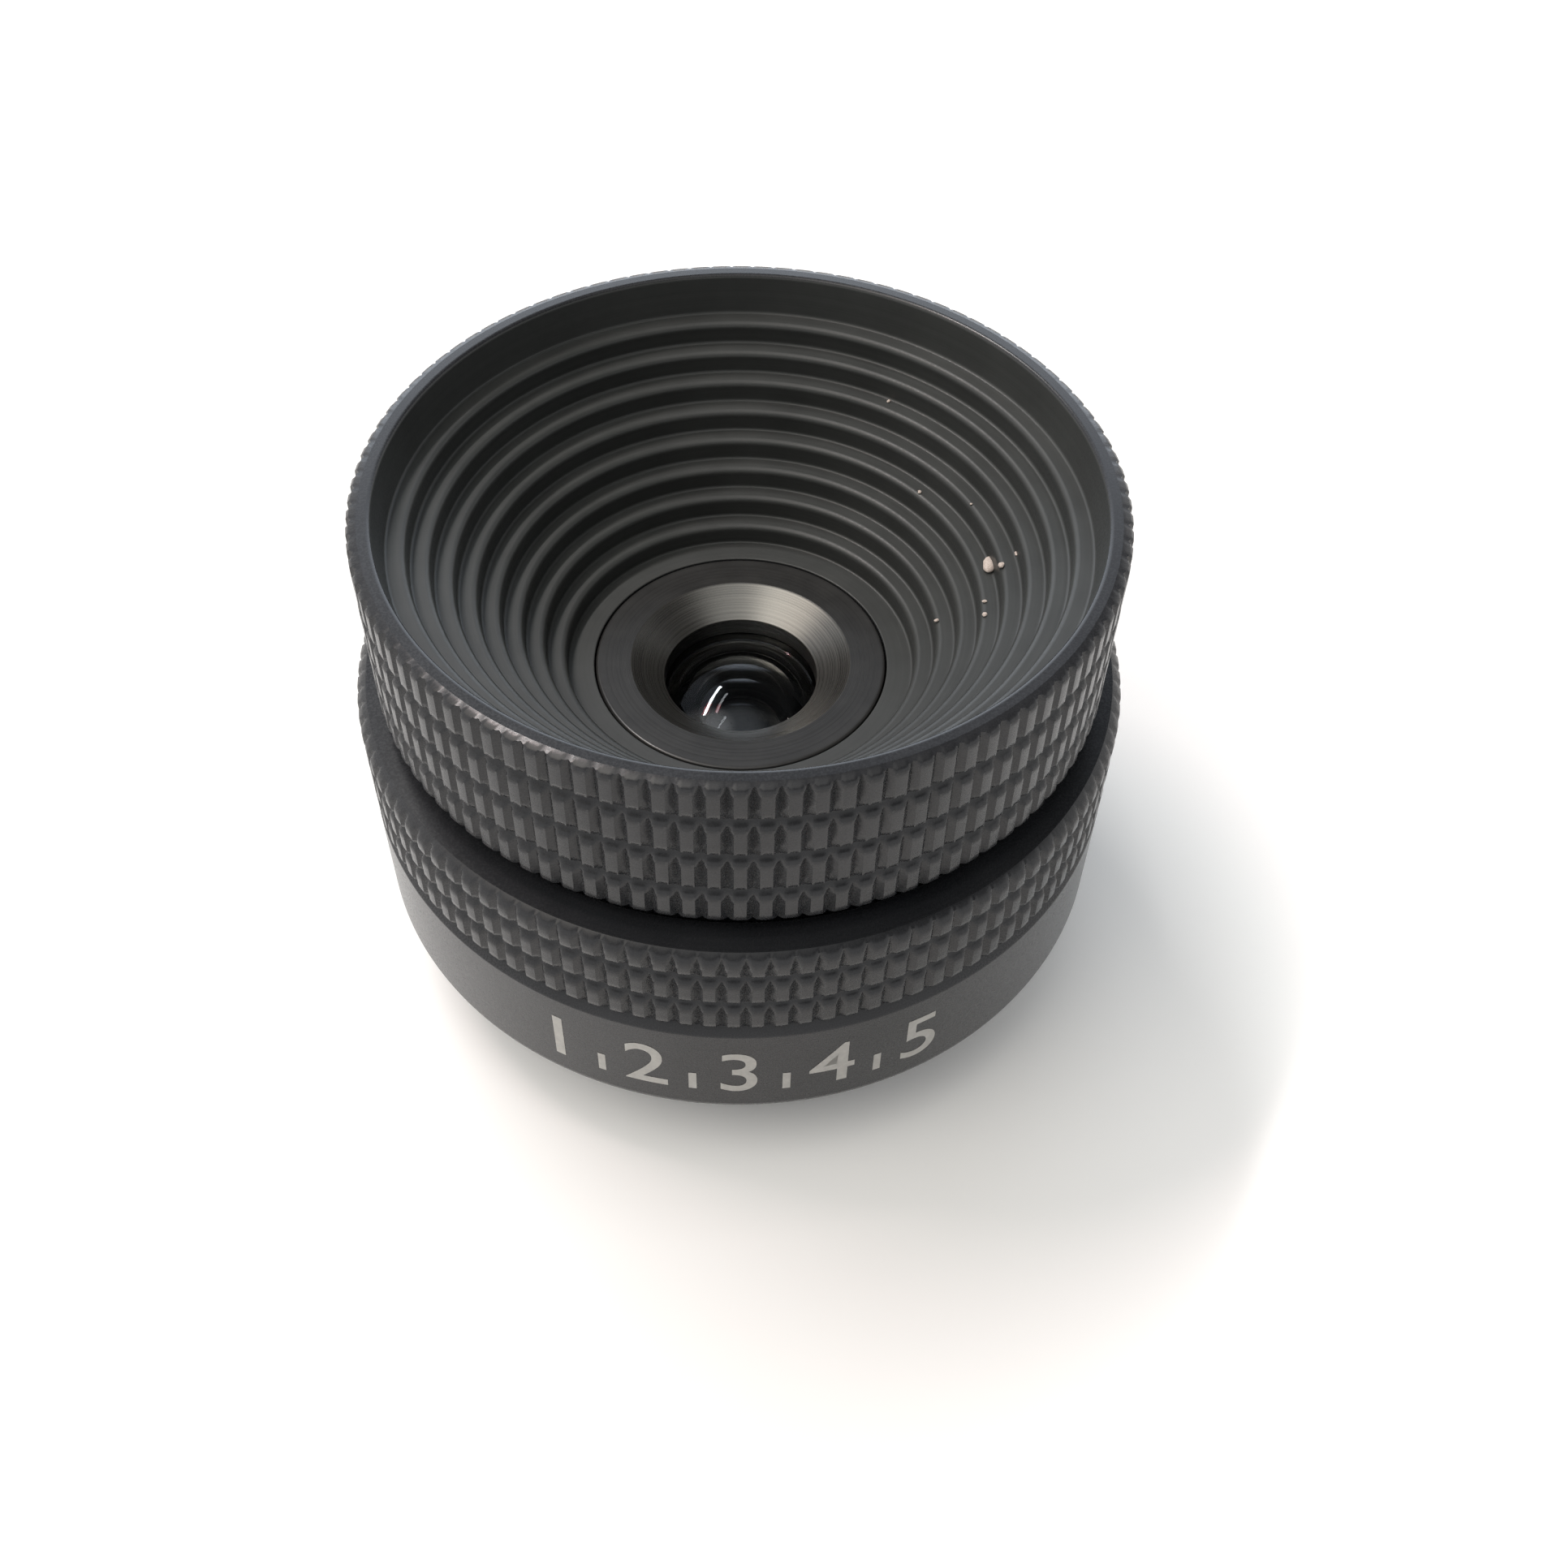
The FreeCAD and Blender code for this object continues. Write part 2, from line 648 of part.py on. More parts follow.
def drag_ring():
    """Rubber ring in the skirt's groove that keeps dust out and gives the focus its drag."""
    ring = document.addObject("Part::Torus", "drag_ring")
    ring.Label = "drag_ring"
    ring.setExpression("Radius1", (seal_floor + seal_radius + size["seal_clearance"]).text)
    ring.setExpression("Radius2", seal_radius.text)
    ring.setExpression("Placement.Base.z", ((seal_top + seal_bottom) / 2).text)
    return ring


pieces = [
    rear_barrel(),
    front_barrel(),
    lens_cell(),
    lens_piece("front_lens", size["small_lens_radius"], front_seat, front_lens_end,
               (size["front_lens_front"], size["bezel_radius"], True),
               (size["front_lens_back"], front_back_clear, True)),
    ring_piece("front_spacer", front_spacer_bore, size["small_lens_radius"],
               second_lens_start, front_lens_end),
    lens_piece("second_lens", size["small_lens_radius"], second_lens_start, bore_step,
               (size["second_lens_front"], second_front_clear, True),
               (size["second_lens_back"], second_back_clear, True)),
    aperture_stop(),
    ring_piece("stop_spacer", stop_spacer_bore, size["large_lens_radius"], flint_start, stop_end),
    lens_piece("doublet_flint", size["large_lens_radius"], flint_start, cement_level,
               (size["flint_front"], flint_clear, False),
               (size["cement_radius"], size["large_lens_radius"], True)),
    lens_piece("doublet_crown", size["large_lens_radius"], cement_level, crown_end,
               (size["cement_radius"], size["large_lens_radius"], True),
               (size["crown_back"], crown_clear, False)),
    ring_piece("rear_spacer", rear_spacer_bore, size["large_lens_radius"], rear_lens_start, crown_end),
    lens_piece("rear_lens", size["large_lens_radius"], rear_lens_start, rear_lens_end,
               (size["rear_lens_front"], rear_front_clear, True),
               (size["rear_lens_back"], rear_back_clear, False)),
    threaded_ring("rear_retaining_ring", rear_ring_bore, rear_ring_radius, rear_ring_end, rear_lens_end),
    ring_piece("cell_shim", shim_bore, washer_radius, shim_bottom, hood_back),
    ring_piece("friction_washer", washer_bore, washer_radius, washer_bottom, washer_top),
    threaded_ring("cell_retaining_ring", cell_ring_bore, cell_ring_radius,
                  cell_ring_bottom, washer_bottom),
    drag_ring(),
    limit_screw(),
    guide_key(),
    key_screw(),
]
document.recompute()

for item in document.Objects:
    if "Invalid" in item.State or "Error" in item.State:
        raise RuntimeError(f"{item.Name} failed: {item.State}")

os.makedirs("parts", exist_ok=True)
for piece in pieces:
    shape = piece.Shape
    if shape.isNull() or not shape.isValid() or not shape.Solids:
        raise RuntimeError(f"{piece.Label} has no sound solid")
    shape.exportStep(f"parts/{piece.Label}.step")
    print(piece.Label, len(shape.Solids), round(shape.Volume, 4))
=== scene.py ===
import math

import bmesh
import bpy
from mathutils import Matrix, Vector, noise


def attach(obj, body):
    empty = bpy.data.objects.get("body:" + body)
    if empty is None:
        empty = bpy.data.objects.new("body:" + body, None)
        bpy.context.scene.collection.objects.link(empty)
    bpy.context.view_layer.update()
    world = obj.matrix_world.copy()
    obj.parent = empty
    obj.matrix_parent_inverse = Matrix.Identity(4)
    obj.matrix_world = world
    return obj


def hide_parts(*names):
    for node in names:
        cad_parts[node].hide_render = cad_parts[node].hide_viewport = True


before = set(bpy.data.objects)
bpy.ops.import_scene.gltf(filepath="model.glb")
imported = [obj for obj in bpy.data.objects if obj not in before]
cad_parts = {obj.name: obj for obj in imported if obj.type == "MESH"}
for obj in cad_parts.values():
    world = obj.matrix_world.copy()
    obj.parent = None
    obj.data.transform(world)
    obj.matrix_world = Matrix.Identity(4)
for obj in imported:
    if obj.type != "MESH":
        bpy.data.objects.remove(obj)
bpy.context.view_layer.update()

# The scene is in metres; lengths below are in millimetres, apart from the first two

WELD_DISTANCE = 1e-8
SEWING_DISTANCE = 2e-7
MM = 0.001
TURN = 2 * math.pi
SEGMENTS = 240
SHARP_ANGLE = 42

# Roundings: the usual one, one for broken edges, none, and how a rounding meets its sides

USUAL_ROUNDING = 0.06
EDGE_ROUNDING = 0.1
SHARP = 0.0
ROUNDING_CUTS = 3
LONGEST_SHARE = 0.45
FLAT_SHARE = 0.5
FLAT_LENGTH = 0.04

# Levels and radii of the barrels, as the construction has them

THREAD_RADIUS = 12.69
THREAD_PITCH = 25.4 / 32
THREAD_DEPTH = 0.45
THREAD_LEAD_IN = 0.5
THREAD_ROOT = 0.6
THREAD_ROWS = 10
THREAD_COLUMNS = 181
THREAD_BORE = 11.2
RELIEF_RADIUS = 12.2
RELIEF_LEVEL = 3.3
RECESS_RADIUS = 12.9
RECESS_DEPTH = 0.15
FLANGE_LEVEL = 4.0
FLANGE_THICKNESS = 1.0
REAR_RADIUS = 14.985
REAR_BORE = 13.26
REAR_TOP = 13.9
REAR_EDGE = 0.35
REAR_BORE_ROUNDING = 0.12
LIMIT_LEVEL = 7.1
LIMIT_HOLE = 0.82
GUIDE_LOW = 1.6
GUIDE_TOP = 3.8
GUIDE_BORE = 6.36
FRONT_RADIUS = 14.07
FRONT_BOTTOM = 14.9
FRONT_TOP = 21.93
FRONT_EDGE = 0.15
RIM_RADIUS = 13.2
LEDGE_RADIUS = 12.92
LEDGE_LEVEL = 20.3
FIRST_LIP_RADIUS = 6.84
FIRST_LIP_LEVEL = 14.0
HOOD_FLOOR = 13.17
HOOD_BACK = 11.2
HOOD_STEPS = 8
LIP_ROUNDING = 0.2
STEP_ROUNDING = 0.1
THROAT_ROUNDINGS = (0.04, 0.08)
CELL_BORE = 5.80
NECK_RADIUS = 13.0
SKIRT_RADIUS = 13.2
SKIRT_BORE = 12.0
SKIRT_END = 5.6
NECK_END = 13.4
SEAL_FLOOR = 12.44
SEAL_LEVELS = (12.25, 13.15)
LIMIT_FLOOR = 12.7
LIMIT_HALF_WIDTH = 0.8
BOSS_BORE = 9.4
BOSS_RADIUS = 10.6
BOSS_END = 8.4
CELL_RADIUS = 5.74
COUNTERSINK_RADIUS = 4.36
BEZEL_RADIUS = 3.05
BEZEL_TOP = 12.30
BEZEL_ROUNDINGS = (0.03, 0.05)
COUNTERSINK_ROUNDING = 0.03
CELL_FACE_ROUNDING = 0.09
CELL_ROUNDING = 0.05
FRONT_SEAT = 11.55
CELL_FLANGE_RADIUS = 8.4
CELL_FLANGE = (9.85, 11.05)
CELL_TUBE = 6.3
CELL_END = 0.715
CELL_THREAD_BORE = 5.05
CELL_THREAD_END = 1.765
LARGE_BORE = 4.9
SMALL_BORE = 4.0
BORE_STEP = 8.35
KEYWAY_FLOOR = 5.77
KEYWAY_WIDTH = 1.66
KEYWAY_LEVELS = (3.45, 4.95)

# How far under the hood's floor its rougher finish, whose lighter tone is painted light, reaches,
# and how far over the ring's underside the neck's finish does

FACE_SLACK = 0.05
NECK_SLACK = 0.2

# Cutters: how far they reach past the wall, and the facets of the drill

CUTTER_SPARE = 1.0
DRILL_FACETS = 48

# Lenses: radius, then for the front and the back face the level of its edge, the radius of its
# curve, its clear radius, and whether its middle is higher than its edge. The cemented pair is
# drawn with a small gap, so that no two faces lie in one place.

LENS_SEGMENTS = 128
LENS_CUTS = 14
LENS_SHARP_ANGLE = 25
CEMENT = 0.006
LENSES = {
    "front_lens": (3.95, (11.55, 6.0, 3.05, True), (10.25, 4.0, 2.6, True)),
    "second_lens": (3.95, (9.35, 5.5, 2.6, True), (8.35, 12.0, 2.2, True)),
    "doublet_flint": (4.85, (7.55, 12.0, 3.0, False), (5.15, 9.5, 4.85, True)),
    "doublet_crown": (4.85, (5.15 - CEMENT, 9.5, 4.85, True), (4.55, 11.0, 4.3, False)),
    "rear_lens": (4.85, (2.365, 12.0, 4.2, True), (1.765, 30.0, 4.0, False)),
}

# Where a thread's crest ends and its foot begins, in turns from the crest's middle

THREAD_CREST = 0.08
THREAD_FOOT = 0.44

# Knurls: teeth round the ring, crossed by ring grooves; the swing draws the cuts of a tooth
# together at the grooves

FRONT_TEETH = 102
FRONT_ROWS = 4
FRONT_GROOVE_LEVEL = 14.65
FRONT_GROOVE_PITCH = 1.85
REAR_TEETH = 109
REAR_ROWS = 3
REAR_GROOVE_LEVEL = 9.4
REAR_GROOVE_PITCH = 1.6
TOOTH_DEPTH = 0.22
TOOTH_GAP = 0.5
RING_GROOVE_DEPTH = 0.3
RING_GROOVE_WIDTH = 0.72
KNURL_ROOT = 0.4
CELL_CUTS_ACROSS = 9
CELL_CUTS_UP = 13
CUTS_SWING = -0.08

# Print on the smooth band

BAND_NUMBERS = "12345"
NUMBER_STEP = 13.5
NUMBER_HEIGHT = 2.6
NUMBER_LEVEL = 5.35
TICK_WIDTH = 0.3
TICK_HEIGHT = 1.1
PRINT_LIFT = 0.008
FIGURE_SHARE = 0.7
STROKE_GAIN = 0.02
WRAP_CUTS = 12
WRAP_STEP = 0.15

# Grit on the hood's steps: azimuth, radius, level, length, width, lean

GRIT = (
    (9.5, 9.75, 16.70, 0.86, 0.50, 75),
    (7.2, 10.72, 17.60, 0.34, 0.30, 20),
    (4.1, 9.95, 17.60, 0.30, 0.24, 50),
    (-2.0, 9.30, 16.70, 0.20, 0.15, 10),
    (-6.4, 9.29, 16.70, 0.24, 0.18, 60),
    (3.3, 7.68, 14.90, 0.22, 0.16, 30),
    (57.6, 11.23, 18.50, 0.22, 0.14, 0),
    (39.6, 9.35, 16.70, 0.20, 0.16, 45),
    (25.0, 10.0, 17.60, 0.12, 0.1, 0),
)
GRAIN_BUMPS = 1.7
GRAIN_UNEVENNESS = 0.22
GRAIN_THICKNESS = 0.3
GRAIN_LIFT = 0.22


def turned_corner(before, corner, after, rounding):
    """Give a short arc, with a short flat at both ends, in place of a sharp corner."""
    corner, into, out = Vector(corner), Vector(before), Vector(after)
    back, forth = into - corner, out - corner
    angle = back.angle(forth)
    reach = min(rounding / math.tan(angle / 2),
                back.length * LONGEST_SHARE, forth.length * LONGEST_SHARE)
    radius = reach * math.tan(angle / 2)
    back, forth = back.normalized(), forth.normalized()
    start, end = corner + back * reach, corner + forth * reach
    middle = corner + (back + forth).normalized() * radius / math.sin(angle / 2)
    first, last = start - middle, end - middle
    sweep = first.angle_signed(last)
    arc = [middle + Matrix.Rotation(-sweep * cut / ROUNDING_CUTS, 2) @ first
           for cut in range(ROUNDING_CUTS + 1)]
    margin = min(reach * FLAT_SHARE, FLAT_LENGTH)
    return [start + back * margin, *arc, end + forth * margin]


def softened(outline, rounding=USUAL_ROUNDING):
    """Round every corner of a closed half section; a point may carry its own rounding."""
    points = []
    count = len(outline)
    for index, point in enumerate(outline):
        before, after = outline[index - 1][:2], outline[(index + 1) % count][:2]
        own = point[2] if len(point) > 2 else rounding
        if own == 0 or point[0] == 0:
            points.append(Vector(point[:2]))
            continue
        points += turned_corner(before, point[:2], after, own)
    return points


def turned_mesh(name, section, segments=SEGMENTS):
    """Turn a closed half section round the optical axis."""
    mesh = bpy.data.meshes.new(name)
    build = bmesh.new()
    rings = []
    for segment in range(segments):
        angle = TURN * segment / segments
        across, along = math.cos(angle) * MM, math.sin(angle) * MM
        rings.append([build.verts.new((p.x * across, p.x * along, p.y * MM)) for p in section])
    count = len(section)
    for segment in range(segments):
        ring, following = rings[segment], rings[(segment + 1) % segments]
        for index in range(count):
            after = (index + 1) % count
            if section[index].x == 0 and section[after].x == 0:
                continue
            build.faces.new((ring[index], following[index], following[after], ring[after]))
    bmesh.ops.remove_doubles(build, verts=build.verts, dist=WELD_DISTANCE)
    bmesh.ops.recalc_face_normals(build, faces=build.faces)
    for face in build.faces:
        face.smooth = True
    build.to_mesh(mesh)
    build.free()
    return mesh


def new_object(name, mesh, *materials):
    """Put a mesh in the scene with its materials."""
    made = bpy.data.objects.new(name, mesh)
    bpy.context.scene.collection.objects.link(made)
    for material in materials:
        mesh.materials.append(material)
    return made


def joined(name, parts):
    """Join finished parts of one piece into one mesh, each keeping its material."""
    bpy.ops.object.select_all(action="DESELECT")
    for part in parts:
        part.select_set(True)
    bpy.context.view_layer.objects.active = parts[0]
    bpy.ops.object.join()
    parts[0].name = name
    parts[0].data.name = name
    parts[0].data.set_sharp_from_angle(angle=math.radians(SHARP_ANGLE))
    return parts[0]


# Node trees


class Nodes:
    """A node tree under construction, with short calls for its nodes and links."""

    def node(self, kind, inputs, **settings):
        made = self.tree.nodes.new(kind)
        for setting, value in settings.items():
            setattr(made, setting, value)
        for socket, value in inputs.items():
            if isinstance(value, bpy.types.NodeSocket):
                self.tree.links.new(value, made.inputs[socket])
            else:
                made.inputs[socket].default_value = value
        return made.outputs

    def math(self, operation, *values):
        return self.node("ShaderNodeMath", dict(enumerate(values)), operation=operation)[0]

    def apart(self, vector):
        """Split a vector into its three numbers."""
        return self.node("ShaderNodeSeparateXYZ", {0: vector}).values()


class ShapeTree(Nodes):
    """A geometry tree whose inputs are the sizes of what it grows."""

    def __init__(self, name, lengths, counts):
        self.tree = bpy.data.node_groups.new(name, "GeometryNodeTree")
        face = self.tree.interface
        for label in lengths:
            face.new_socket(label, in_out="INPUT", socket_type="NodeSocketFloat")
        for label in counts:
            face.new_socket(label, in_out="INPUT", socket_type="NodeSocketInt")
        face.new_socket("Geometry", in_out="OUTPUT", socket_type="NodeSocketGeometry")
        self.sizes = self.tree.nodes.new("NodeGroupInput").outputs
        self.result = self.tree.nodes.new("NodeGroupOutput").inputs[0]

    def held(self, value, low, high):
        """Keep a value between two others."""
        return self.math("MINIMUM", self.math("MAXIMUM", value, low), high)

    def bend(self, flat, radius, angle, height):
        """Bend a flat band round the axis and sew its seam."""
        place = self.node("ShaderNodeCombineXYZ", {
            "X": self.math("MULTIPLY", radius, self.math("COSINE", angle)),
            "Y": self.math("MULTIPLY", radius, self.math("SINE", angle)),
            "Z": height})[0]
        band = self.node("GeometryNodeSetPosition", {"Geometry": flat, "Position": place})[0]
        return self.node("GeometryNodeMergeByDistance",
                         {"Geometry": band, "Distance": SEWING_DISTANCE})[0]

    def finish(self, geometry, material):
        real = self.node("GeometryNodeRealizeInstances", {"Geometry": geometry})[0]
        dressed = self.node("GeometryNodeSetMaterial",
                            {"Geometry": real, "Material": material})[0]
        self.tree.links.new(dressed, self.result)
        return self.tree


def grown(name, tree, **sizes):
    """Evaluate a geometry tree with its sizes and keep the result as a plain mesh."""
    holder = new_object(name, bpy.data.meshes.new(name))
    modifier = holder.modifiers.new(name, "NODES")
    modifier.node_group = tree
    for item in tree.interface.items_tree:
        if item.in_out == "INPUT" and item.name in sizes:
            modifier[item.identifier] = sizes[item.name]
    evaluated = holder.evaluated_get(bpy.context.evaluated_depsgraph_get())
    mesh = bpy.data.meshes.new_from_object(evaluated)
    holder.modifiers.clear()
    holder.data = mesh
    mesh.name = name
    for face in mesh.polygons:
        face.use_smooth = True
    return holder


def valley(tree, distance, half_width, depth):
    """Depth of a soft V groove at a distance from its middle."""
    share = tree.math("DIVIDE", distance, half_width)
    return tree.node("ShaderNodeMapRange", {"Value": share, "From Min": 0.0, "From Max": 1.0,
                     "To Min": depth, "To Max": 0.0}, interpolation_type="SMOOTHSTEP")[0]


def deepest(tree, *cuts):
    """The deepest of several cuts at one point."""
    most = cuts[0]
    for cut in cuts[1:]:
        most = tree.math("MAXIMUM", most, cut)
    return most


def knurl_tree(material):
    """One tooth cell, repeated along and across a flat band that is then bent round the ring."""
    lengths = ("Radius", "Root", "Tooth gap", "Tooth depth", "Groove level", "Groove pitch",
               "Groove width", "Groove depth", "Low end", "Low edge", "High end", "High edge")
    tree = ShapeTree("knurl", lengths, ("Teeth", "Rows"))
    size = tree.sizes
    cell = tree.node("GeometryNodeMeshGrid", {
        "Size X": 1.0, "Size Y": 1.0,
        "Vertices X": CELL_CUTS_ACROSS, "Vertices Y": CELL_CUTS_UP})["Mesh"]
    spread_x = tree.math("SUBTRACT", size["Teeth"], 1.0)
    spread_y = tree.math("SUBTRACT", size["Rows"], 1.0)
    places = tree.node("GeometryNodeMeshGrid", {
        "Size X": spread_x, "Size Y": spread_y,
        "Vertices X": size["Teeth"], "Vertices Y": size["Rows"]})["Mesh"]
    teeth = tree.node("GeometryNodeInstanceOnPoints", {"Points": places, "Instance": cell})[0]
    flat = tree.node("GeometryNodeRealizeInstances", {"Geometry": teeth})[0]
    position = tree.node("GeometryNodeInputPosition", {})[0]
    x, y, _ = tree.apart(position)
    along = tree.math("ADD", x, tree.math("DIVIDE", size["Teeth"], 2.0))
    even_row = tree.math("ADD", y, tree.math("DIVIDE", size["Rows"], 2.0))
    swing = tree.math("SINE", tree.math("MULTIPLY", even_row, TURN))
    row = tree.math("MULTIPLY_ADD", swing, CUTS_SWING, even_row)
    level = tree.math("MULTIPLY_ADD", row, size["Groove pitch"], size["Groove level"])
    height = tree.held(level, size["Low end"], size["High end"])
    angle = tree.math("DIVIDE", tree.math("MULTIPLY", along, TURN), size["Teeth"])
    girth = tree.math("MULTIPLY", size["Radius"], TURN)
    tooth_pitch = tree.math("DIVIDE", girth, size["Teeth"])
    across_gap = tree.math("MULTIPLY", tree.math("PINGPONG", along, 0.5), tooth_pitch)
    from_groove = tree.math("SUBTRACT", height, size["Groove level"])
    half_pitch = tree.math("DIVIDE", size["Groove pitch"], 2.0)
    across_groove = tree.math("PINGPONG", from_groove, half_pitch)
    half_gap = tree.math("DIVIDE", size["Tooth gap"], 2.0)
    half_groove = tree.math("DIVIDE", size["Groove width"], 2.0)
    gap_cut = valley(tree, across_gap, half_gap, size["Tooth depth"])
    groove_cut = valley(tree, across_groove, half_groove, size["Groove depth"])
    low_edge = tree.math("ADD", size["Low end"], size["Low edge"])
    high_edge = tree.math("SUBTRACT", size["High end"], size["High edge"])
    low_cut = tree.math("SUBTRACT", low_edge, level)
    high_cut = tree.math("SUBTRACT", level, high_edge)
    below, above = (tree.math("LESS_THAN", level, size["Low end"]),
                    tree.math("GREATER_THAN", level, size["High end"]))
    past_low, past_high = (tree.math("MULTIPLY", past, size["Root"]) for past in (below, above))
    cut = deepest(tree, gap_cut, groove_cut, low_cut, high_cut, past_low, past_high)
    radius = tree.math("SUBTRACT", size["Radius"], tree.math("MINIMUM", cut, size["Root"]))
    return tree.finish(tree.bend(flat, radius, angle, height), material)


def thread_tree(material):
    """Screw thread: a band that leans with the thread's lead, bent round the mount."""
    lengths = ("Crest radius", "Depth", "Pitch", "Root", "Lead-in", "Relief level",
               "Relief radius")
    tree = ShapeTree("mount_thread", lengths, ("Turns",))
    size = tree.sizes
    spare_turns = tree.math("ADD", size["Turns"], 1.0)
    rows = tree.math("MULTIPLY_ADD", spare_turns, float(THREAD_ROWS), 1.0)
    flat = tree.node("GeometryNodeMeshGrid", {
        "Size X": 1.0, "Size Y": spare_turns,
        "Vertices X": THREAD_COLUMNS, "Vertices Y": rows})["Mesh"]
    position = tree.node("GeometryNodeInputPosition", {})[0]
    x, y, _ = tree.apart(position)
    share = tree.math("ADD", x, 0.5)
    half = tree.math("DIVIDE", spare_turns, 2.0)
    turn = tree.math("ADD", y, tree.math("SUBTRACT", half, 1.0))
    level = tree.math("MULTIPLY", tree.math("ADD", turn, share), size["Pitch"])
    height = tree.held(level, 0.0, size["Relief level"])
    from_crest = tree.math("PINGPONG", turn, 0.5)
    flank = tree.node("ShaderNodeMapRange", {
        "Value": from_crest, "From Min": THREAD_CREST, "From Max": THREAD_FOOT,
        "To Min": 0.0, "To Max": 1.0})[0]
    thread_cut = tree.math("MULTIPLY", flank, size["Depth"])
    lead_cut = tree.math("SUBTRACT", size["Lead-in"], level)
    end_cut = tree.math("SUBTRACT", size["Crest radius"], size["Relief radius"])
    above = tree.math("GREATER_THAN", level, size["Relief level"])
    past_top = tree.math("MULTIPLY", above, end_cut)
    past_low = tree.math("MULTIPLY", tree.math("LESS_THAN", level, 0.0), size["Root"])
    cut = deepest(tree, thread_cut, lead_cut, past_top, past_low)
    most = tree.math("MINIMUM", cut, size["Root"])
    radius = tree.math("SUBTRACT", size["Crest radius"], most)
    angle = tree.math("MULTIPLY", share, TURN)
    return tree.finish(tree.bend(flat, radius, angle, height), material)


# Finishes; tones are a dark and a light colour, linear

NOISE_ROUGHNESS = 0.6
NOISE_SPAN = (0.3, 0.7)
CLOUD_SHARE = 0.6
COUNTERSINK_BLEND = 0.05
COUNTERSINK_METALLIC = 0.9
BLACK_TONES = ((0.017, 0.018, 0.020), (0.030, 0.031, 0.034))
# The hood's tones are lighter than the outer black: painted light that brightens the deep steps
HOOD_PAINTED_LIGHT_TONES = ((0.037, 0.039, 0.038), (0.057, 0.060, 0.058))
CELL_TONES = ((0.022, 0.022, 0.0215), (0.032, 0.032, 0.031))
COUNTERSINK_TONES = ((0.13, 0.127, 0.12), (0.21, 0.205, 0.19))
INK_TONES = ((0.46, 0.45, 0.43), (0.56, 0.55, 0.52))
DUST_TONES = ((0.46, 0.38, 0.33), (0.72, 0.64, 0.58))
SPACER_TONES = ((0.002, 0.002, 0.002), (0.0026, 0.0026, 0.0026))
BRASS_TONES = ((0.03, 0.027, 0.024), (0.06, 0.054, 0.047))
STEEL_TONES = ((0.5, 0.5, 0.5), (0.62, 0.61, 0.6))
BLACK_STEEL_TONES = ((0.03, 0.03, 0.032), (0.06, 0.06, 0.062))
PLASTIC_TONES = ((0.72, 0.72, 0.7), (0.8, 0.8, 0.78))
RUBBER_TONES = ((0.015, 0.015, 0.015), (0.03, 0.03, 0.03))


class Finish(Nodes):
    """A material under construction: its surface shader and the nodes that feed it."""

    def __init__(self, name):
        self.material = bpy.data.materials.new(name)
        self.material.use_nodes = True
        self.tree = self.material.node_tree
        self.shader = self.tree.nodes["Principled BSDF"]

    def set(self, label, value):
        self.shader.inputs[label].default_value = value
        return self

    def feed(self, label, value):
        self.tree.links.new(value, self.shader.inputs[label])
        return self

    def place(self):
        return self.node("ShaderNodeTexCoord", {})["Object"]

    def lathe_place(self):
        """Position as radius and height, so that a pattern runs round the part like turning."""
        x, y, z = self.apart(self.place())
        squares = (self.math("MULTIPLY", side, side) for side in (x, y))
        radius = self.math("SQRT", self.math("ADD", *squares))
        return self.node("ShaderNodeCombineXYZ", {"X": radius, "Y": z})[0]

    def noise(self, place, feature, detail=2.0):
        """Noise whose features measure about the given millimetres."""
        return self.node("ShaderNodeTexNoise", {
            "Vector": place, "Scale": 1 / (feature * MM), "Detail": detail,
            "Roughness": NOISE_ROUGHNESS})[0]

    def between(self, value, low, high):
        """Spread noise between two numbers."""
        return self.node("ShaderNodeMapRange", {
            "Value": value, "From Min": NOISE_SPAN[0], "From Max": NOISE_SPAN[1],
            "To Min": low, "To Max": high})[0]

    def tint(self, value, dark, light):
        """Blend two colours by a value."""
        return self.mix("MIX", value, (*dark, 1.0), (*light, 1.0))

    def mix(self, blend, share, first, second):
        return self.node("ShaderNodeMix", {0: share, 6: first, 7: second},
                         data_type="RGBA", blend_type=blend)[2]

    def tones(self, pattern, dark, light):
        """Spread a pattern between two colours."""
        return self.tint(self.between(pattern, 0.0, 1.0), dark, light)

    def dull(self, pattern, low, high):
        """Spread the surface's roughness by a pattern."""
        return self.feed("Roughness", self.between(pattern, low, high))

    def relief(self, *layers):
        """Stack bump layers, each a height and its depth in millimetres."""
        normal = None
        for height, depth in layers:
            inputs = {"Height": height, "Distance": depth * MM, "Strength": 1.0}
            if normal is not None:
                inputs["Normal"] = normal
            normal = self.node("ShaderNodeBump", inputs)[0]
        return self.feed("Normal", normal)


def black_anodised(name, tones, ior, roughness):
    """Satin black anodising over fine turning marks."""
    finish = Finish(name).set("Metallic", 0.0).set("IOR", ior)
    clouds = finish.noise(finish.place(), feature=3.0, detail=3.0)
    grain = finish.noise(finish.place(), feature=0.09)
    marks = finish.noise(finish.lathe_place(), feature=0.11)
    shade = finish.math("ADD", finish.math("MULTIPLY", clouds, CLOUD_SHARE),
                        finish.math("MULTIPLY", marks, 1 - CLOUD_SHARE))
    finish.feed("Base Color", finish.tones(shade, *tones)).dull(grain, *roughness)
    finish.relief((marks, 0.0012), (grain, 0.0008))
    return finish.material


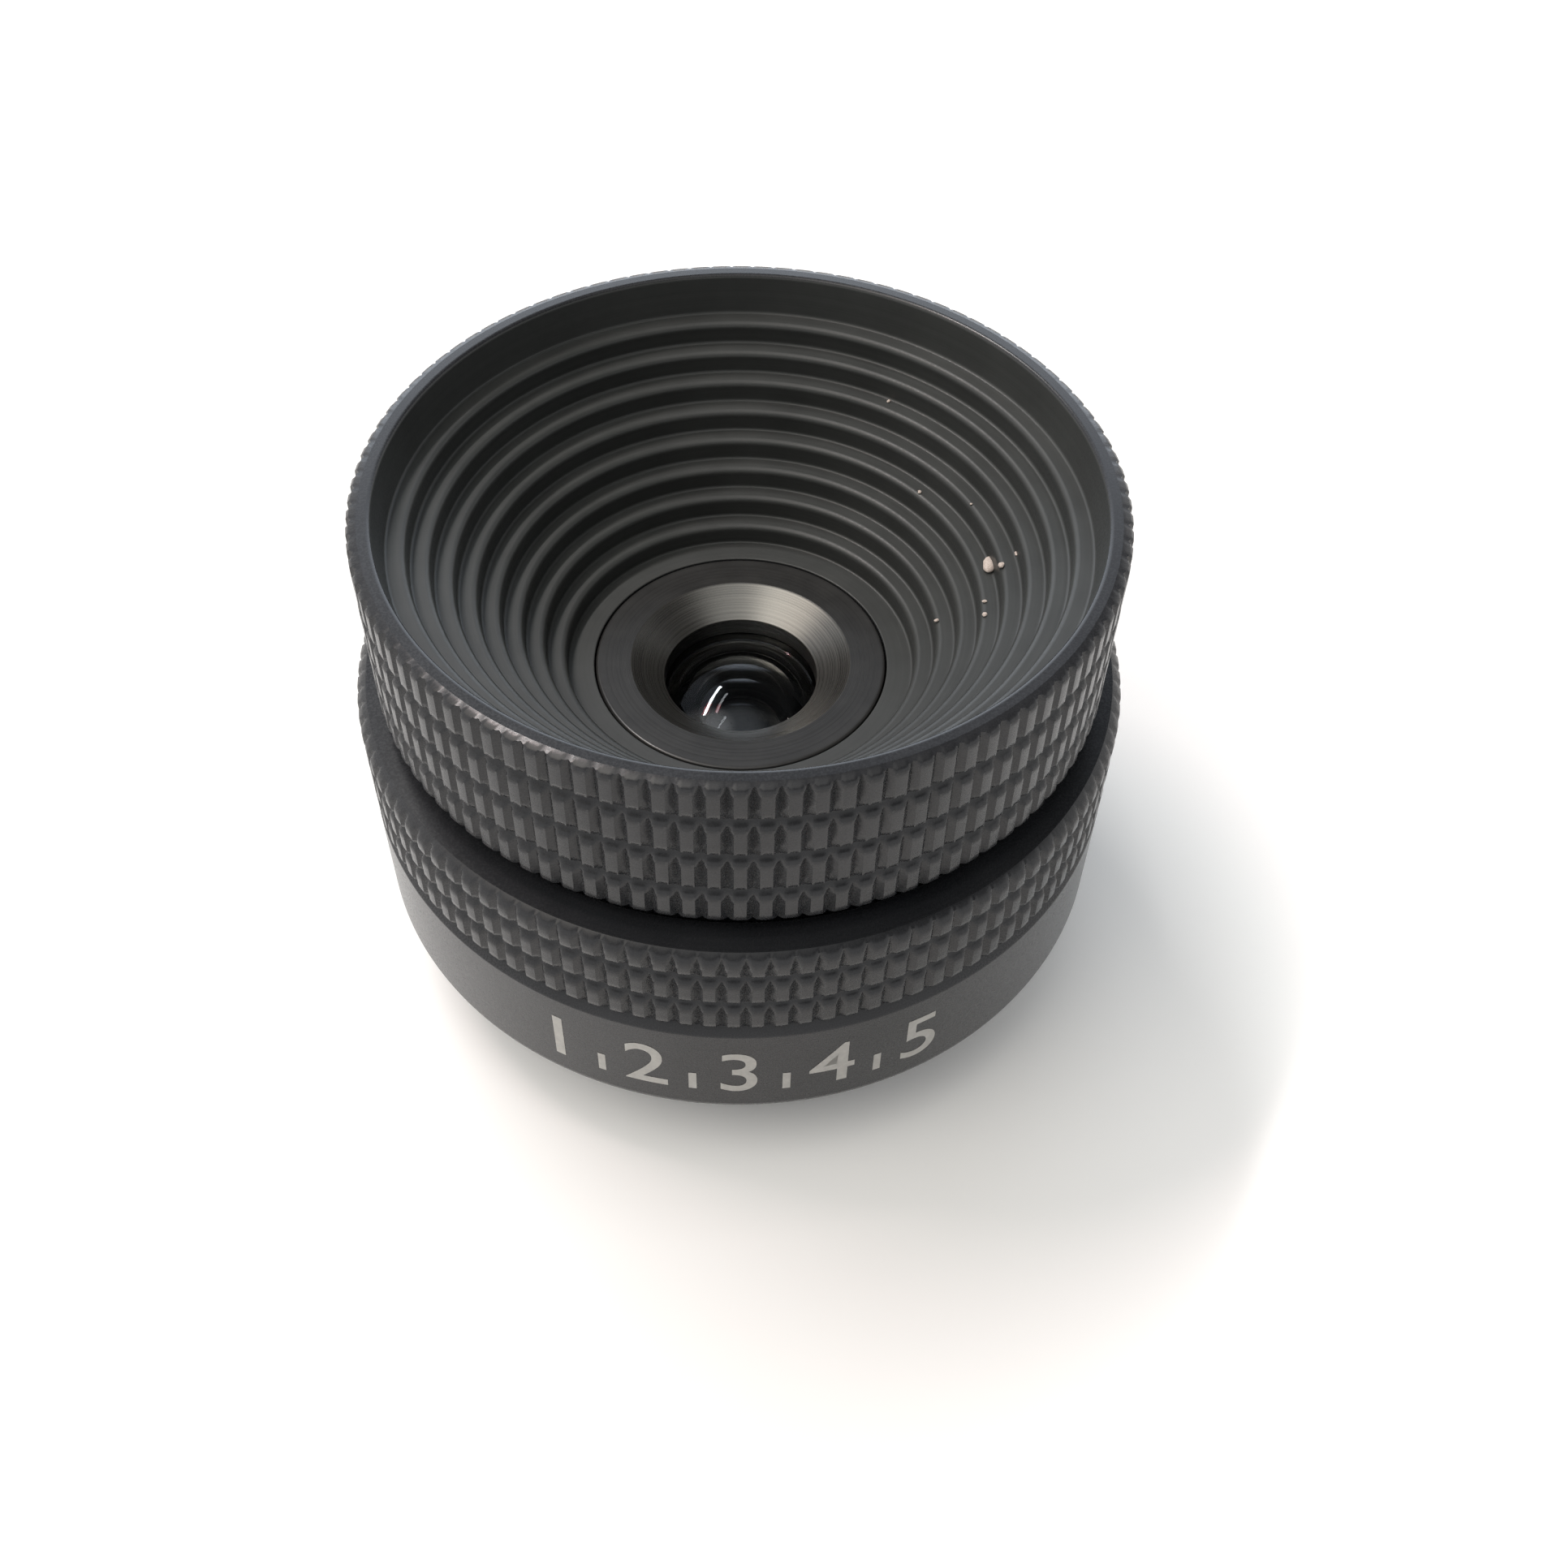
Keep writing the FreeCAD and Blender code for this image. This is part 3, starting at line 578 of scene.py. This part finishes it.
def turned_cell_black():
    """The cell's face: thinner anodising, with the turning marks of its countersink showing."""
    finish = Finish("cell_black").set("IOR", 1.45)
    place, lathe = finish.place(), finish.lathe_place()
    radius, _, _ = finish.apart(lathe)
    inside = finish.node("ShaderNodeMapRange", {
        "Value": radius, "From Min": COUNTERSINK_RADIUS * MM,
        "From Max": (COUNTERSINK_RADIUS - COUNTERSINK_BLEND) * MM, "To Min": 0.0, "To Max": 1.0})[0]
    marks = finish.noise(lathe, feature=0.05)
    body = finish.tones(finish.noise(place, feature=1.2, detail=3.0), *CELL_TONES)
    bright = finish.tones(marks, *COUNTERSINK_TONES)
    finish.feed("Base Color", finish.mix("MIX", inside, body, bright))
    finish.feed("Metallic", finish.math("MULTIPLY", inside, COUNTERSINK_METALLIC))
    finish.dull(marks, 0.24, 0.34)
    finish.relief((marks, 0.0015), (finish.noise(place, feature=0.07), 0.0006))
    return finish.material


def coated_glass():
    """Optical glass; the coating leaves little of its reflection, and that bluish."""
    finish = Finish("coated_glass").set("Base Color", (0.93, 0.94, 0.94, 1.0)).set("IOR", 1.62)
    finish.set("Transmission Weight", 1.0).set("Specular Tint", (0.24, 0.26, 0.29, 1.0))
    finish.dull(finish.noise(finish.place(), feature=1.5), 0.0, 0.004)
    return finish.material


def bare_metal(name, tones, roughness, metallic=1.0):
    """Plain machined metal with turning marks."""
    finish = Finish(name).set("Metallic", metallic)
    marks = finish.noise(finish.lathe_place(), feature=0.08)
    clouds = finish.noise(finish.place(), feature=1.5, detail=3.0)
    finish.feed("Base Color", finish.tones(clouds, *tones)).dull(marks, *roughness)
    finish.relief((marks, 0.001))
    return finish.material


def grained(name, tones, roughness, feature, depth, detail=3.0, specular=0.5):
    """Even finish of ink, rubber, plastic or dull paint, with one grain and its relief."""
    finish = Finish(name).set("Specular IOR Level", specular)
    grain = finish.noise(finish.place(), feature, detail)
    finish.feed("Base Color", finish.tones(grain, *tones)).dull(grain, *roughness)
    if depth:
        finish.relief((grain, depth))
    return finish.material


# Barrels


def cut_away(piece, cutter):
    """Cut one closed mesh out of another and keep the result as a plain mesh."""
    modifier = piece.modifiers.new("cut", "BOOLEAN")
    modifier.operation = "DIFFERENCE"
    modifier.object = cutter
    evaluated = piece.evaluated_get(bpy.context.evaluated_depsgraph_get())
    mesh = bpy.data.meshes.new_from_object(evaluated)
    piece.modifiers.clear()
    mesh.name = piece.data.name
    piece.data = mesh
    bpy.data.objects.remove(cutter)
    return piece


def radial_drill(level, radius, start, end):
    """Cutter for a hole through the back wall, square to the optical axis."""
    build = bmesh.new()
    bmesh.ops.create_cone(build, cap_ends=True, segments=DRILL_FACETS,
                          radius1=radius * MM, radius2=radius * MM, depth=(end - start) * MM)
    lay_down = Matrix.Rotation(TURN / 4, 4, "X")
    place = Matrix.Translation(Vector((0, (start + end) / 2, level)) * MM)
    bmesh.ops.transform(build, matrix=place @ lay_down, verts=build.verts)
    mesh = bpy.data.meshes.new("radial_drill")
    build.to_mesh(mesh)
    build.free()
    return new_object("radial_drill", mesh)


def knurl(name, material, radius, teeth, rows, groove_level, groove_pitch, low, high):
    """Knurled band; low and high are its ends, each a level and the width of its edge."""
    return grown(name, knurl_tree(material), **{
        "Radius": radius * MM, "Root": KNURL_ROOT * MM, "Tooth gap": TOOTH_GAP * MM,
        "Tooth depth": TOOTH_DEPTH * MM, "Groove level": groove_level * MM,
        "Groove pitch": groove_pitch * MM, "Groove width": RING_GROOVE_WIDTH * MM,
        "Groove depth": RING_GROOVE_DEPTH * MM, "Low end": low[0] * MM, "Low edge": low[1] * MM,
        "High end": high[0] * MM, "High edge": high[1] * MM, "Teeth": teeth, "Rows": rows})


def rear_barrel(black, ink):
    """Mount thread, flange, number band and knurl."""
    knurl_root = REAR_RADIUS - KNURL_ROOT
    thread_root = THREAD_RADIUS - THREAD_ROOT
    inner_floor = FLANGE_LEVEL + FLANGE_THICKNESS
    recess_level = FLANGE_LEVEL + RECESS_DEPTH
    section = softened([
        (THREAD_BORE, 0.0, EDGE_ROUNDING), (thread_root, 0.0, SHARP),
        (thread_root, RELIEF_LEVEL, SHARP), (RELIEF_RADIUS, RELIEF_LEVEL, SHARP),
        (RELIEF_RADIUS, recess_level), (RECESS_RADIUS, recess_level),
        (RECESS_RADIUS, FLANGE_LEVEL), (REAR_RADIUS, FLANGE_LEVEL, REAR_EDGE),
        (REAR_RADIUS, REAR_GROOVE_LEVEL - RING_GROOVE_WIDTH / 2, EDGE_ROUNDING),
        (REAR_RADIUS - RING_GROOVE_DEPTH, REAR_GROOVE_LEVEL, SHARP),
        (knurl_root, REAR_GROOVE_LEVEL, SHARP), (knurl_root, REAR_TOP, SHARP),
        (REAR_BORE, REAR_TOP, REAR_BORE_ROUNDING), (REAR_BORE, inner_floor),
        (THREAD_BORE, inner_floor), (THREAD_BORE, GUIDE_TOP),
        (GUIDE_BORE, GUIDE_TOP, EDGE_ROUNDING), (GUIDE_BORE, GUIDE_LOW, EDGE_ROUNDING),
        (THREAD_BORE, GUIDE_LOW),
    ])
    body = new_object("rear_barrel_body", turned_mesh("rear_barrel_body", section), black)
    start, end = REAR_BORE - CUTTER_SPARE, REAR_RADIUS + CUTTER_SPARE
    cut_away(body, radial_drill(LIMIT_LEVEL, LIMIT_HOLE, start, end))
    thread = grown("mount_thread", thread_tree(black), **{
        "Crest radius": THREAD_RADIUS * MM, "Depth": THREAD_DEPTH * MM,
        "Pitch": THREAD_PITCH * MM, "Root": THREAD_ROOT * MM, "Lead-in": THREAD_LEAD_IN * MM,
        "Relief level": RELIEF_LEVEL * MM, "Relief radius": RELIEF_RADIUS * MM,
        "Turns": math.ceil(RELIEF_LEVEL / THREAD_PITCH)})
    band = knurl("rear_knurl", black, REAR_RADIUS, REAR_TEETH, REAR_ROWS, REAR_GROOVE_LEVEL,
                 REAR_GROOVE_PITCH, (REAR_GROOVE_LEVEL, 0.0), (REAR_TOP, REAR_EDGE))
    piece = joined("rear_barrel_finished", [body, thread, band, *band_print(ink)])
    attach(piece, "mount")
    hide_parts("rear_barrel")
    return piece


def hood_section():
    """Stepped baffle from the hood's floor up to the rim's recess."""
    run = (LEDGE_RADIUS - FIRST_LIP_RADIUS) / HOOD_STEPS
    rise = (LEDGE_LEVEL - FIRST_LIP_LEVEL) / (HOOD_STEPS - 1)
    points = [(radius, HOOD_FLOOR, rounding) for radius, rounding in
              zip((CELL_BORE, FIRST_LIP_RADIUS), THROAT_ROUNDINGS)]
    for step in range(HOOD_STEPS):
        level = FIRST_LIP_LEVEL + rise * step
        lip = FIRST_LIP_RADIUS + run * step
        points += [(lip, level, LIP_ROUNDING), (lip + run, level, STEP_ROUNDING)]
    return points


def skirt_section():
    """Neck, skirt with its seal and limit grooves, and the boss that holds the cell."""
    low_limit = LIMIT_LEVEL - LIMIT_HALF_WIDTH
    high_limit = LIMIT_LEVEL + LIMIT_HALF_WIDTH
    low_seal, high_seal = SEAL_LEVELS
    return [
        (NECK_RADIUS, FRONT_BOTTOM, EDGE_ROUNDING), (NECK_RADIUS, NECK_END),
        (SKIRT_RADIUS, NECK_END),
        (SKIRT_RADIUS, high_seal), (SEAL_FLOOR, high_seal), (SEAL_FLOOR, low_seal),
        (SKIRT_RADIUS, low_seal), (SKIRT_RADIUS, high_limit), (LIMIT_FLOOR, high_limit),
        (LIMIT_FLOOR, low_limit), (SKIRT_RADIUS, low_limit), (SKIRT_RADIUS, SKIRT_END),
        (SKIRT_BORE, SKIRT_END), (SKIRT_BORE, HOOD_BACK), (BOSS_RADIUS, HOOD_BACK),
        (BOSS_RADIUS, BOSS_END), (BOSS_BORE, BOSS_END), (BOSS_BORE, HOOD_BACK),
    ]


def in_the_hood(place):
    """Say whether a place on the front barrel belongs to the hood's inner wall."""
    radius, level = math.hypot(place.x, place.y) / MM, place.z / MM
    within = radius < RIM_RADIUS and level > HOOD_FLOOR - FACE_SLACK
    return within and (level > FRONT_BOTTOM + NECK_SLACK or radius < BOSS_BORE)


def front_barrel(black, hood, grit):
    """Hood, focus ring and skirt, with the grit that lies on the hood's steps."""
    knurl_root = FRONT_RADIUS - KNURL_ROOT
    section = softened([
        (CELL_BORE, HOOD_BACK), *hood_section(), (RIM_RADIUS, FRONT_TOP, FRONT_EDGE),
        (knurl_root, FRONT_TOP, SHARP), (knurl_root, FRONT_BOTTOM, SHARP), *skirt_section(),
    ])
    name = "front_barrel_body"
    body = new_object(name, turned_mesh(name, section), black, hood)
    for face in body.data.polygons:
        # The hood's inner wall takes the rougher material, whose lighter tone is painted light
        face.material_index = int(in_the_hood(face.center))
    band = knurl("front_knurl", black, FRONT_RADIUS, FRONT_TEETH, FRONT_ROWS,
                 FRONT_GROOVE_LEVEL, FRONT_GROOVE_PITCH,
                 (FRONT_BOTTOM, FRONT_EDGE), (FRONT_TOP, FRONT_EDGE))
    grains = [hood_grain(*grain, grit) for grain in GRIT]
    piece = joined("front_barrel_finished", [body, band, *grains])
    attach(piece, "focus_ring")
    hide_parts("front_barrel")
    return piece


def hood_grain(azimuth, radius, level, length, width, lean, grit):
    """One irregular grain that lies on a step of the hood."""
    build = bmesh.new()
    bmesh.ops.create_icosphere(build, subdivisions=2, radius=1.0)
    for vertex in build.verts:
        place = vertex.co * GRAIN_BUMPS + Vector((azimuth, radius, lean))
        vertex.co *= 1.0 + GRAIN_UNEVENNESS * noise.noise(place)
    size = Matrix.Diagonal((length / 2, width / 2, width * GRAIN_THICKNESS, 1.0)) * MM
    size[3][3] = 1.0
    around = Matrix.Rotation(math.radians(azimuth), 4, "Z")
    out = Matrix.Translation(Vector((radius, 0, level + width * GRAIN_LIFT)) * MM)
    leaning = Matrix.Rotation(math.radians(lean), 4, "Z")
    bmesh.ops.transform(build, verts=build.verts, matrix=around @ out @ leaning @ size)
    for face in build.faces:
        face.smooth = True
    mesh = bpy.data.meshes.new("grain")
    build.to_mesh(mesh)
    build.free()
    return new_object("grain", mesh, grit)


def band_print(ink):
    """Plain numbers with a tick between each two, printed round the smooth band."""
    marks = []
    half = (len(BAND_NUMBERS) - 1) / 2
    for index, label in enumerate(BAND_NUMBERS):
        place = math.radians(NUMBER_STEP) * (index - half) - TURN / 4
        marks.append(wrapped(f"number_{label}", number_shape(label), place, NUMBER_LEVEL, ink))
        if label != BAND_NUMBERS[-1]:
            middle = place + math.radians(NUMBER_STEP) / 2
            marks.append(wrapped(f"tick_{label}", tick_shape(), middle, NUMBER_LEVEL, ink))
    return marks


def number_shape(label):
    """Flat mesh of one number, standing on the X axis."""
    text = bpy.data.curves.new(f"number_{label}", "FONT")
    text.body = label
    text.align_x = "CENTER"
    text.size = NUMBER_HEIGHT / FIGURE_SHARE
    text.offset = STROKE_GAIN
    flat = new_object(f"number_{label}_flat", text)
    evaluated = flat.evaluated_get(bpy.context.evaluated_depsgraph_get())
    mesh = bpy.data.meshes.new_from_object(evaluated)
    bpy.data.objects.remove(flat)
    return mesh


def tick_shape():
    """Flat mesh of one tick, standing on the X axis."""
    mesh = bpy.data.meshes.new("tick")
    half, high = TICK_WIDTH / 2, TICK_HEIGHT
    corners = [(-half, 0, 0), (half, 0, 0), (half, high, 0), (-half, high, 0)]
    mesh.from_pydata(corners, [], [(0, 1, 2, 3)])
    return mesh


def wrapped(name, mesh, angle, level, ink):
    """Wrap a flat mark on the smooth band."""
    build = bmesh.new()
    build.from_mesh(mesh)
    for cut in range(-WRAP_CUTS, WRAP_CUTS + 1):
        geometry = [*build.verts, *build.edges, *build.faces]
        bmesh.ops.bisect_plane(build, geom=geometry, plane_co=(cut * WRAP_STEP, 0, 0),
                               plane_no=(1, 0, 0))
    radius = REAR_RADIUS + PRINT_LIFT
    for vertex in build.verts:
        turn = angle + vertex.co.x / radius
        height = level + vertex.co.y
        vertex.co = Vector((radius * math.cos(turn), radius * math.sin(turn), height)) * MM
    build.normal_update()
    for face in build.faces:
        face.smooth = True
        middle = face.calc_center_median()
        if face.normal.dot(Vector((middle.x, middle.y, 0))) < 0:
            face.normal_flip()
    build.to_mesh(mesh)
    build.free()
    return new_object(name, mesh, ink)


# Cell and glass


def lens_cell(finish):
    """Tube that holds the glass, with its countersunk face and the keyway in its wall."""
    section = softened([
        (COUNTERSINK_RADIUS, HOOD_FLOOR, COUNTERSINK_ROUNDING),
        (CELL_RADIUS, HOOD_FLOOR, CELL_FACE_ROUNDING),
        (CELL_RADIUS, CELL_FLANGE[1]), (CELL_FLANGE_RADIUS, CELL_FLANGE[1]),
        (CELL_FLANGE_RADIUS, CELL_FLANGE[0]), (CELL_TUBE, CELL_FLANGE[0]), (CELL_TUBE, CELL_END),
        (CELL_THREAD_BORE, CELL_END), (CELL_THREAD_BORE, CELL_THREAD_END),
        (LARGE_BORE, CELL_THREAD_END), (LARGE_BORE, BORE_STEP), (SMALL_BORE, BORE_STEP),
        (SMALL_BORE, FRONT_SEAT), (BEZEL_RADIUS, FRONT_SEAT, BEZEL_ROUNDINGS[0]),
        (BEZEL_RADIUS, BEZEL_TOP, BEZEL_ROUNDINGS[1]),
    ], CELL_ROUNDING)
    name = "lens_cell_finished"
    piece = new_object(name, turned_mesh(name, section), finish)
    cut_away(piece, keyway_cutter())
    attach(piece, "optics")
    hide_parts("lens_cell")
    return piece


def keyway_cutter():
    """Cutter for the pocket that the guide key's end runs in."""
    build = bmesh.new()
    bmesh.ops.create_cube(build, size=1.0)
    low = Vector((KEYWAY_FLOOR, -KEYWAY_WIDTH / 2, KEYWAY_LEVELS[0]))
    high = Vector((CELL_TUBE + CUTTER_SPARE, KEYWAY_WIDTH / 2, KEYWAY_LEVELS[1]))
    for vertex in build.verts:
        vertex.co = ((low + high) / 2 + vertex.co * (high - low)) * MM
    mesh = bpy.data.meshes.new("keyway_cutter")
    build.to_mesh(mesh)
    build.free()
    return new_object("keyway_cutter", mesh)


def spherical_face(level, curve, clear, higher):
    """Points of a spherical face from its rim to the axis."""
    drop = curve - math.sqrt(curve * curve - clear * clear)
    vertex = level + (drop if higher else -drop)
    middle = vertex - curve if higher else vertex + curve
    reach = math.asin(clear / curve)
    points = []
    for cut in range(LENS_CUTS + 1):
        angle = reach * (1 - cut / LENS_CUTS)
        along = curve * math.cos(angle)
        height = middle + along if higher else middle - along
        points.append(Vector((curve * math.sin(angle), height)))
    points[-1].x = 0.0
    return points


def lens(node, radius, front, back, glass):
    """Polished lens between two spherical faces."""
    section = spherical_face(*front)[::-1]
    for level, _, clear, _ in (front, back):
        if clear < radius:
            section.append(Vector((radius, level)))
    section += spherical_face(*back)
    mesh = turned_mesh(f"{node}_polished", section, LENS_SEGMENTS)
    mesh.set_sharp_from_angle(angle=math.radians(LENS_SHARP_ANGLE))
    piece = new_object(f"{node}_polished", mesh, glass)
    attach(piece, "optics")
    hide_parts(node)
    return piece


# Stage

PHOTO_HEIGHT = 1932
FOCAL_PIXELS = 2175.7
CAMERA_PLACE = (-0.0533, -48.762, 63.884)
CAMERA_TILT = 50.16
CAMERA_YAW = 1.87
CAMERA_ROLL = -1.62
SENSOR_WIDTH = 36.0

# Floor and lamps, in metres, but the paper's fibres in millimetres; a tube runs between two
# directions

NEAREST = 0.001
FARTHEST = 200.0
FLOOR_REACH = 60.0
FLOOR_LIFT = 0.12
FIBRE_SIZE = 12.0
PAPER_TONES = ((0.93, 0.925, 0.91), (0.95, 0.945, 0.93))
TUBE_FAR = Vector((-0.22, 0.50, 0.84))
TUBE_NEAR = Vector((-0.444, 0.11, 0.889))
TUBE_DISTANCE = 0.8
TUBE_WIDTH = 0.03
TUBE_POWER = 2.7
TUBE_COLOUR = (1.0, 0.985, 0.965)
GLOW_BEHIND = 0.02
GLOW_WIDTH = 0.055
GLOW_SHARE = 0.4
GLOW_POWER = 0.22
GLOW_COLOUR = (1.0, 0.22, 0.2)

# What lights the part: azimuth, elevation, plain half angle, faded half angle, strength, colour

ROOM = {
    "low wall behind": (90, 9, 29, 37, 2.5, (0.89, 0.97, 1.08)),
    "window on the left": (145, 34, 12, 32, 0.6, (0.92, 0.97, 1.04)),
    "wall on the left": (184, 8, 12, 36, 1.1, (1.0, 0.99, 0.98)),
    "wall on the right": (18, 6, 12, 36, 0.9, (0.95, 0.98, 1.02)),
    "warm lamp on the left": (200, 57, 8, 28, 2.6, (1.05, 0.99, 0.91)),
    "ceiling in front": (262, 72, 10, 36, 1.1, (1.0, 1.0, 0.98)),
}
ROOM_SHADE = 0.06
BACKDROP_TOP = 24
BACKDROP_FADE = 36


def add_camera():
    """Camera at the photograph's place, found by fitting the rims of both rings."""
    tilt, yaw, roll = (math.radians(angle) for angle in (CAMERA_TILT, CAMERA_YAW, CAMERA_ROLL))
    forward = Vector((math.sin(yaw) * math.cos(tilt), math.cos(yaw) * math.cos(tilt),
                      -math.sin(tilt)))
    right = Vector((math.cos(yaw), -math.sin(yaw), 0.0))
    down = forward.cross(right)
    across = right * math.cos(roll) + down * math.sin(roll)
    up = right * math.sin(roll) - down * math.cos(roll)
    data = bpy.data.cameras.new("camera")
    data.sensor_width = SENSOR_WIDTH
    data.lens = data.sensor_width * FOCAL_PIXELS / PHOTO_HEIGHT
    data.clip_start = NEAREST
    data.clip_end = FARTHEST
    camera = bpy.data.objects.new("camera", data)
    bpy.context.scene.collection.objects.link(camera)
    turn = Matrix((across, up, -forward)).transposed().to_4x4()
    camera.matrix_world = Matrix.Translation(Vector(CAMERA_PLACE) * MM) @ turn
    bpy.context.scene.camera = camera


def seen(shades):
    """One for rays that show a surface to the eye: straight, mirrored or through glass."""
    rays = shades.node("ShaderNodeLightPath", {})
    mirrored = shades.math("MAXIMUM", rays["Is Camera Ray"], rays["Is Glossy Ray"])
    return shades.math("MAXIMUM", mirrored, rays["Is Transmission Ray"])


def add_floor():
    """Sheet of warm white paper, open from below."""
    finish = Finish("paper").set("Specular IOR Level", 0.15).set("Roughness", 0.8)
    fibres = finish.noise(finish.place(), FIBRE_SIZE, detail=3.0)
    finish.feed("Base Color", finish.tint(fibres, *PAPER_TONES))
    finish.set("Emission Color", (1.0, 0.995, 0.98, 1.0))
    finish.feed("Emission Strength", finish.math("MULTIPLY", seen(finish), FLOOR_LIFT))
    below = finish.node("ShaderNodeNewGeometry", {})["Backfacing"]
    finish.feed("Alpha", finish.math("SUBTRACT", 1.0, below))
    mesh = bpy.data.meshes.new("paper")
    reach = FLOOR_REACH
    corners = [(-reach, -reach, 0), (reach, -reach, 0), (reach, reach, 0), (-reach, reach, 0)]
    mesh.from_pydata(corners, [], [(0, 1, 2, 3)])
    floor = new_object("paper", mesh, finish.material)


def add_tube(name, far, near, distance, width, power, colour):
    """Long lamp over the part, between two directions; the glass shows it as a streak."""
    far, near = far.normalized() * distance, near.normalized() * distance
    middle, run = (far + near) / 2, far - near
    data = bpy.data.lights.new(name, "AREA")
    data.shape = "RECTANGLE"
    data.size = width
    data.size_y = run.length
    data.energy = power
    data.color = colour
    lamp = bpy.data.objects.new(name, data)
    bpy.context.scene.collection.objects.link(lamp)
    back = middle.normalized()
    along = (run - back * run.dot(back)).normalized()
    turn = Matrix((along.cross(back), along, back)).transposed().to_4x4()
    lamp.matrix_world = Matrix.Translation(middle) @ turn


class World(Finish):
    """The room under construction, with the calls that a finish has."""

    def __init__(self, name):
        self.world = bpy.data.worlds.new(name)
        self.world.use_nodes = True
        self.tree = self.world.node_tree
        self.shader = self.tree.nodes["Background"]

    def fade(self, value, low, high):
        """Rise softly from none to all between two values."""
        return self.node("ShaderNodeMapRange",
                         {"Value": value, "From Min": low, "From Max": high},
                         interpolation_type="SMOOTHSTEP")[0]


def heading(azimuth, elevation):
    """Direction from an azimuth, counted from +X towards +Y, and a height over the floor."""
    around, up = math.radians(azimuth), math.radians(elevation)
    return Vector((math.cos(around) * math.cos(up), math.sin(around) * math.cos(up), math.sin(up)))


def cosine(degrees):
    return math.cos(math.radians(degrees))


def light_room():
    """Room of a few broad soft lights before a pale backdrop."""
    room = World("room")
    direction = room.node("ShaderNodeTexCoord", {})["Generated"]
    colour = (ROOM_SHADE, ROOM_SHADE, ROOM_SHADE, 1.0)
    for azimuth, elevation, plain, faded, strength, tint in ROOM.values():
        towards = room.node("ShaderNodeVectorMath", {0: direction, 1: heading(azimuth, elevation)},
                            operation="DOT_PRODUCT")["Value"]
        share = room.fade(towards, cosine(faded), cosine(plain))
        glow = (*(channel * strength for channel in tint), 1.0)
        colour = room.mix("ADD", share, colour, glow)
    _, _, rise = room.apart(direction)
    low = room.fade(rise, math.sin(math.radians(BACKDROP_FADE)),
                    math.sin(math.radians(BACKDROP_TOP)))
    backdrop = room.math("MULTIPLY", low, seen(room))
    room.feed("Color", room.mix("LIGHTEN", backdrop, colour, (1.0, 1.0, 1.0, 1.0)))
    bpy.context.scene.world = room.world


def dress_node(node, finish):
    """Give a carried-over piece its finish."""
    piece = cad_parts[node]
    piece.data.materials.clear()
    piece.data.materials.append(finish)


black = black_anodised("black_anodised", BLACK_TONES, ior=1.44, roughness=(0.22, 0.32))
# Rougher anodising inside the hood; its lighter tones are painted light on the deep steps
hood = black_anodised("hood_black_painted_lighter", HOOD_PAINTED_LIGHT_TONES, ior=1.42, roughness=(0.34, 0.48))
ink = grained("white_print", INK_TONES, (0.5, 0.7), feature=0.25, depth=0.002, detail=4.0,
              specular=0.3)
grit = grained("pale_dust", DUST_TONES, (0.7, 0.9), feature=0.06, depth=0, specular=0.2)
glass = coated_glass()
rear_barrel(black, ink)
front_barrel(black, hood, grit)
lens_cell(turned_cell_black())
for node, (radius, front, back) in LENSES.items():
    lens(node, radius, front, back, glass)

spacer = grained("spacer_black", SPACER_TONES, (0.7, 0.82), feature=0.12, depth=0.0006,
                 detail=2.0, specular=0.15)
brass = bare_metal("blackened_brass", BRASS_TONES, (0.45, 0.6), metallic=0.6)
steel = bare_metal("bright_steel", STEEL_TONES, (0.28, 0.43))
black_steel = bare_metal("black_steel", BLACK_STEEL_TONES, (0.4, 0.55), metallic=0.7)
plastic = grained("white_plastic", PLASTIC_TONES, (0.4, 0.5), feature=0.15, depth=0.001)
rubber = grained("black_rubber", RUBBER_TONES, (0.5, 0.6), feature=0.15, depth=0.001)
for finish, nodes in (
    (spacer, ("front_spacer", "stop_spacer", "rear_spacer", "aperture_stop")),
    (brass, ("rear_retaining_ring", "cell_retaining_ring")),
    (steel, ("cell_shim", "guide_key", "key_screw")),
    (black_steel, ("limit_screw",)),
    (plastic, ("friction_washer",)),
    (rubber, ("drag_ring",)),
):
    for node in nodes:
        dress_node(node, finish)

add_floor()
light_room()
add_tube("tube", TUBE_FAR, TUBE_NEAR, TUBE_DISTANCE, TUBE_WIDTH, TUBE_POWER, TUBE_COLOUR)
add_tube("tube_glow", TUBE_FAR.lerp(TUBE_NEAR, 1 - GLOW_SHARE), TUBE_NEAR,
         TUBE_DISTANCE + GLOW_BEHIND, GLOW_WIDTH, GLOW_POWER, GLOW_COLOUR)
add_camera()
bpy.context.scene.view_settings.view_transform = "Standard"
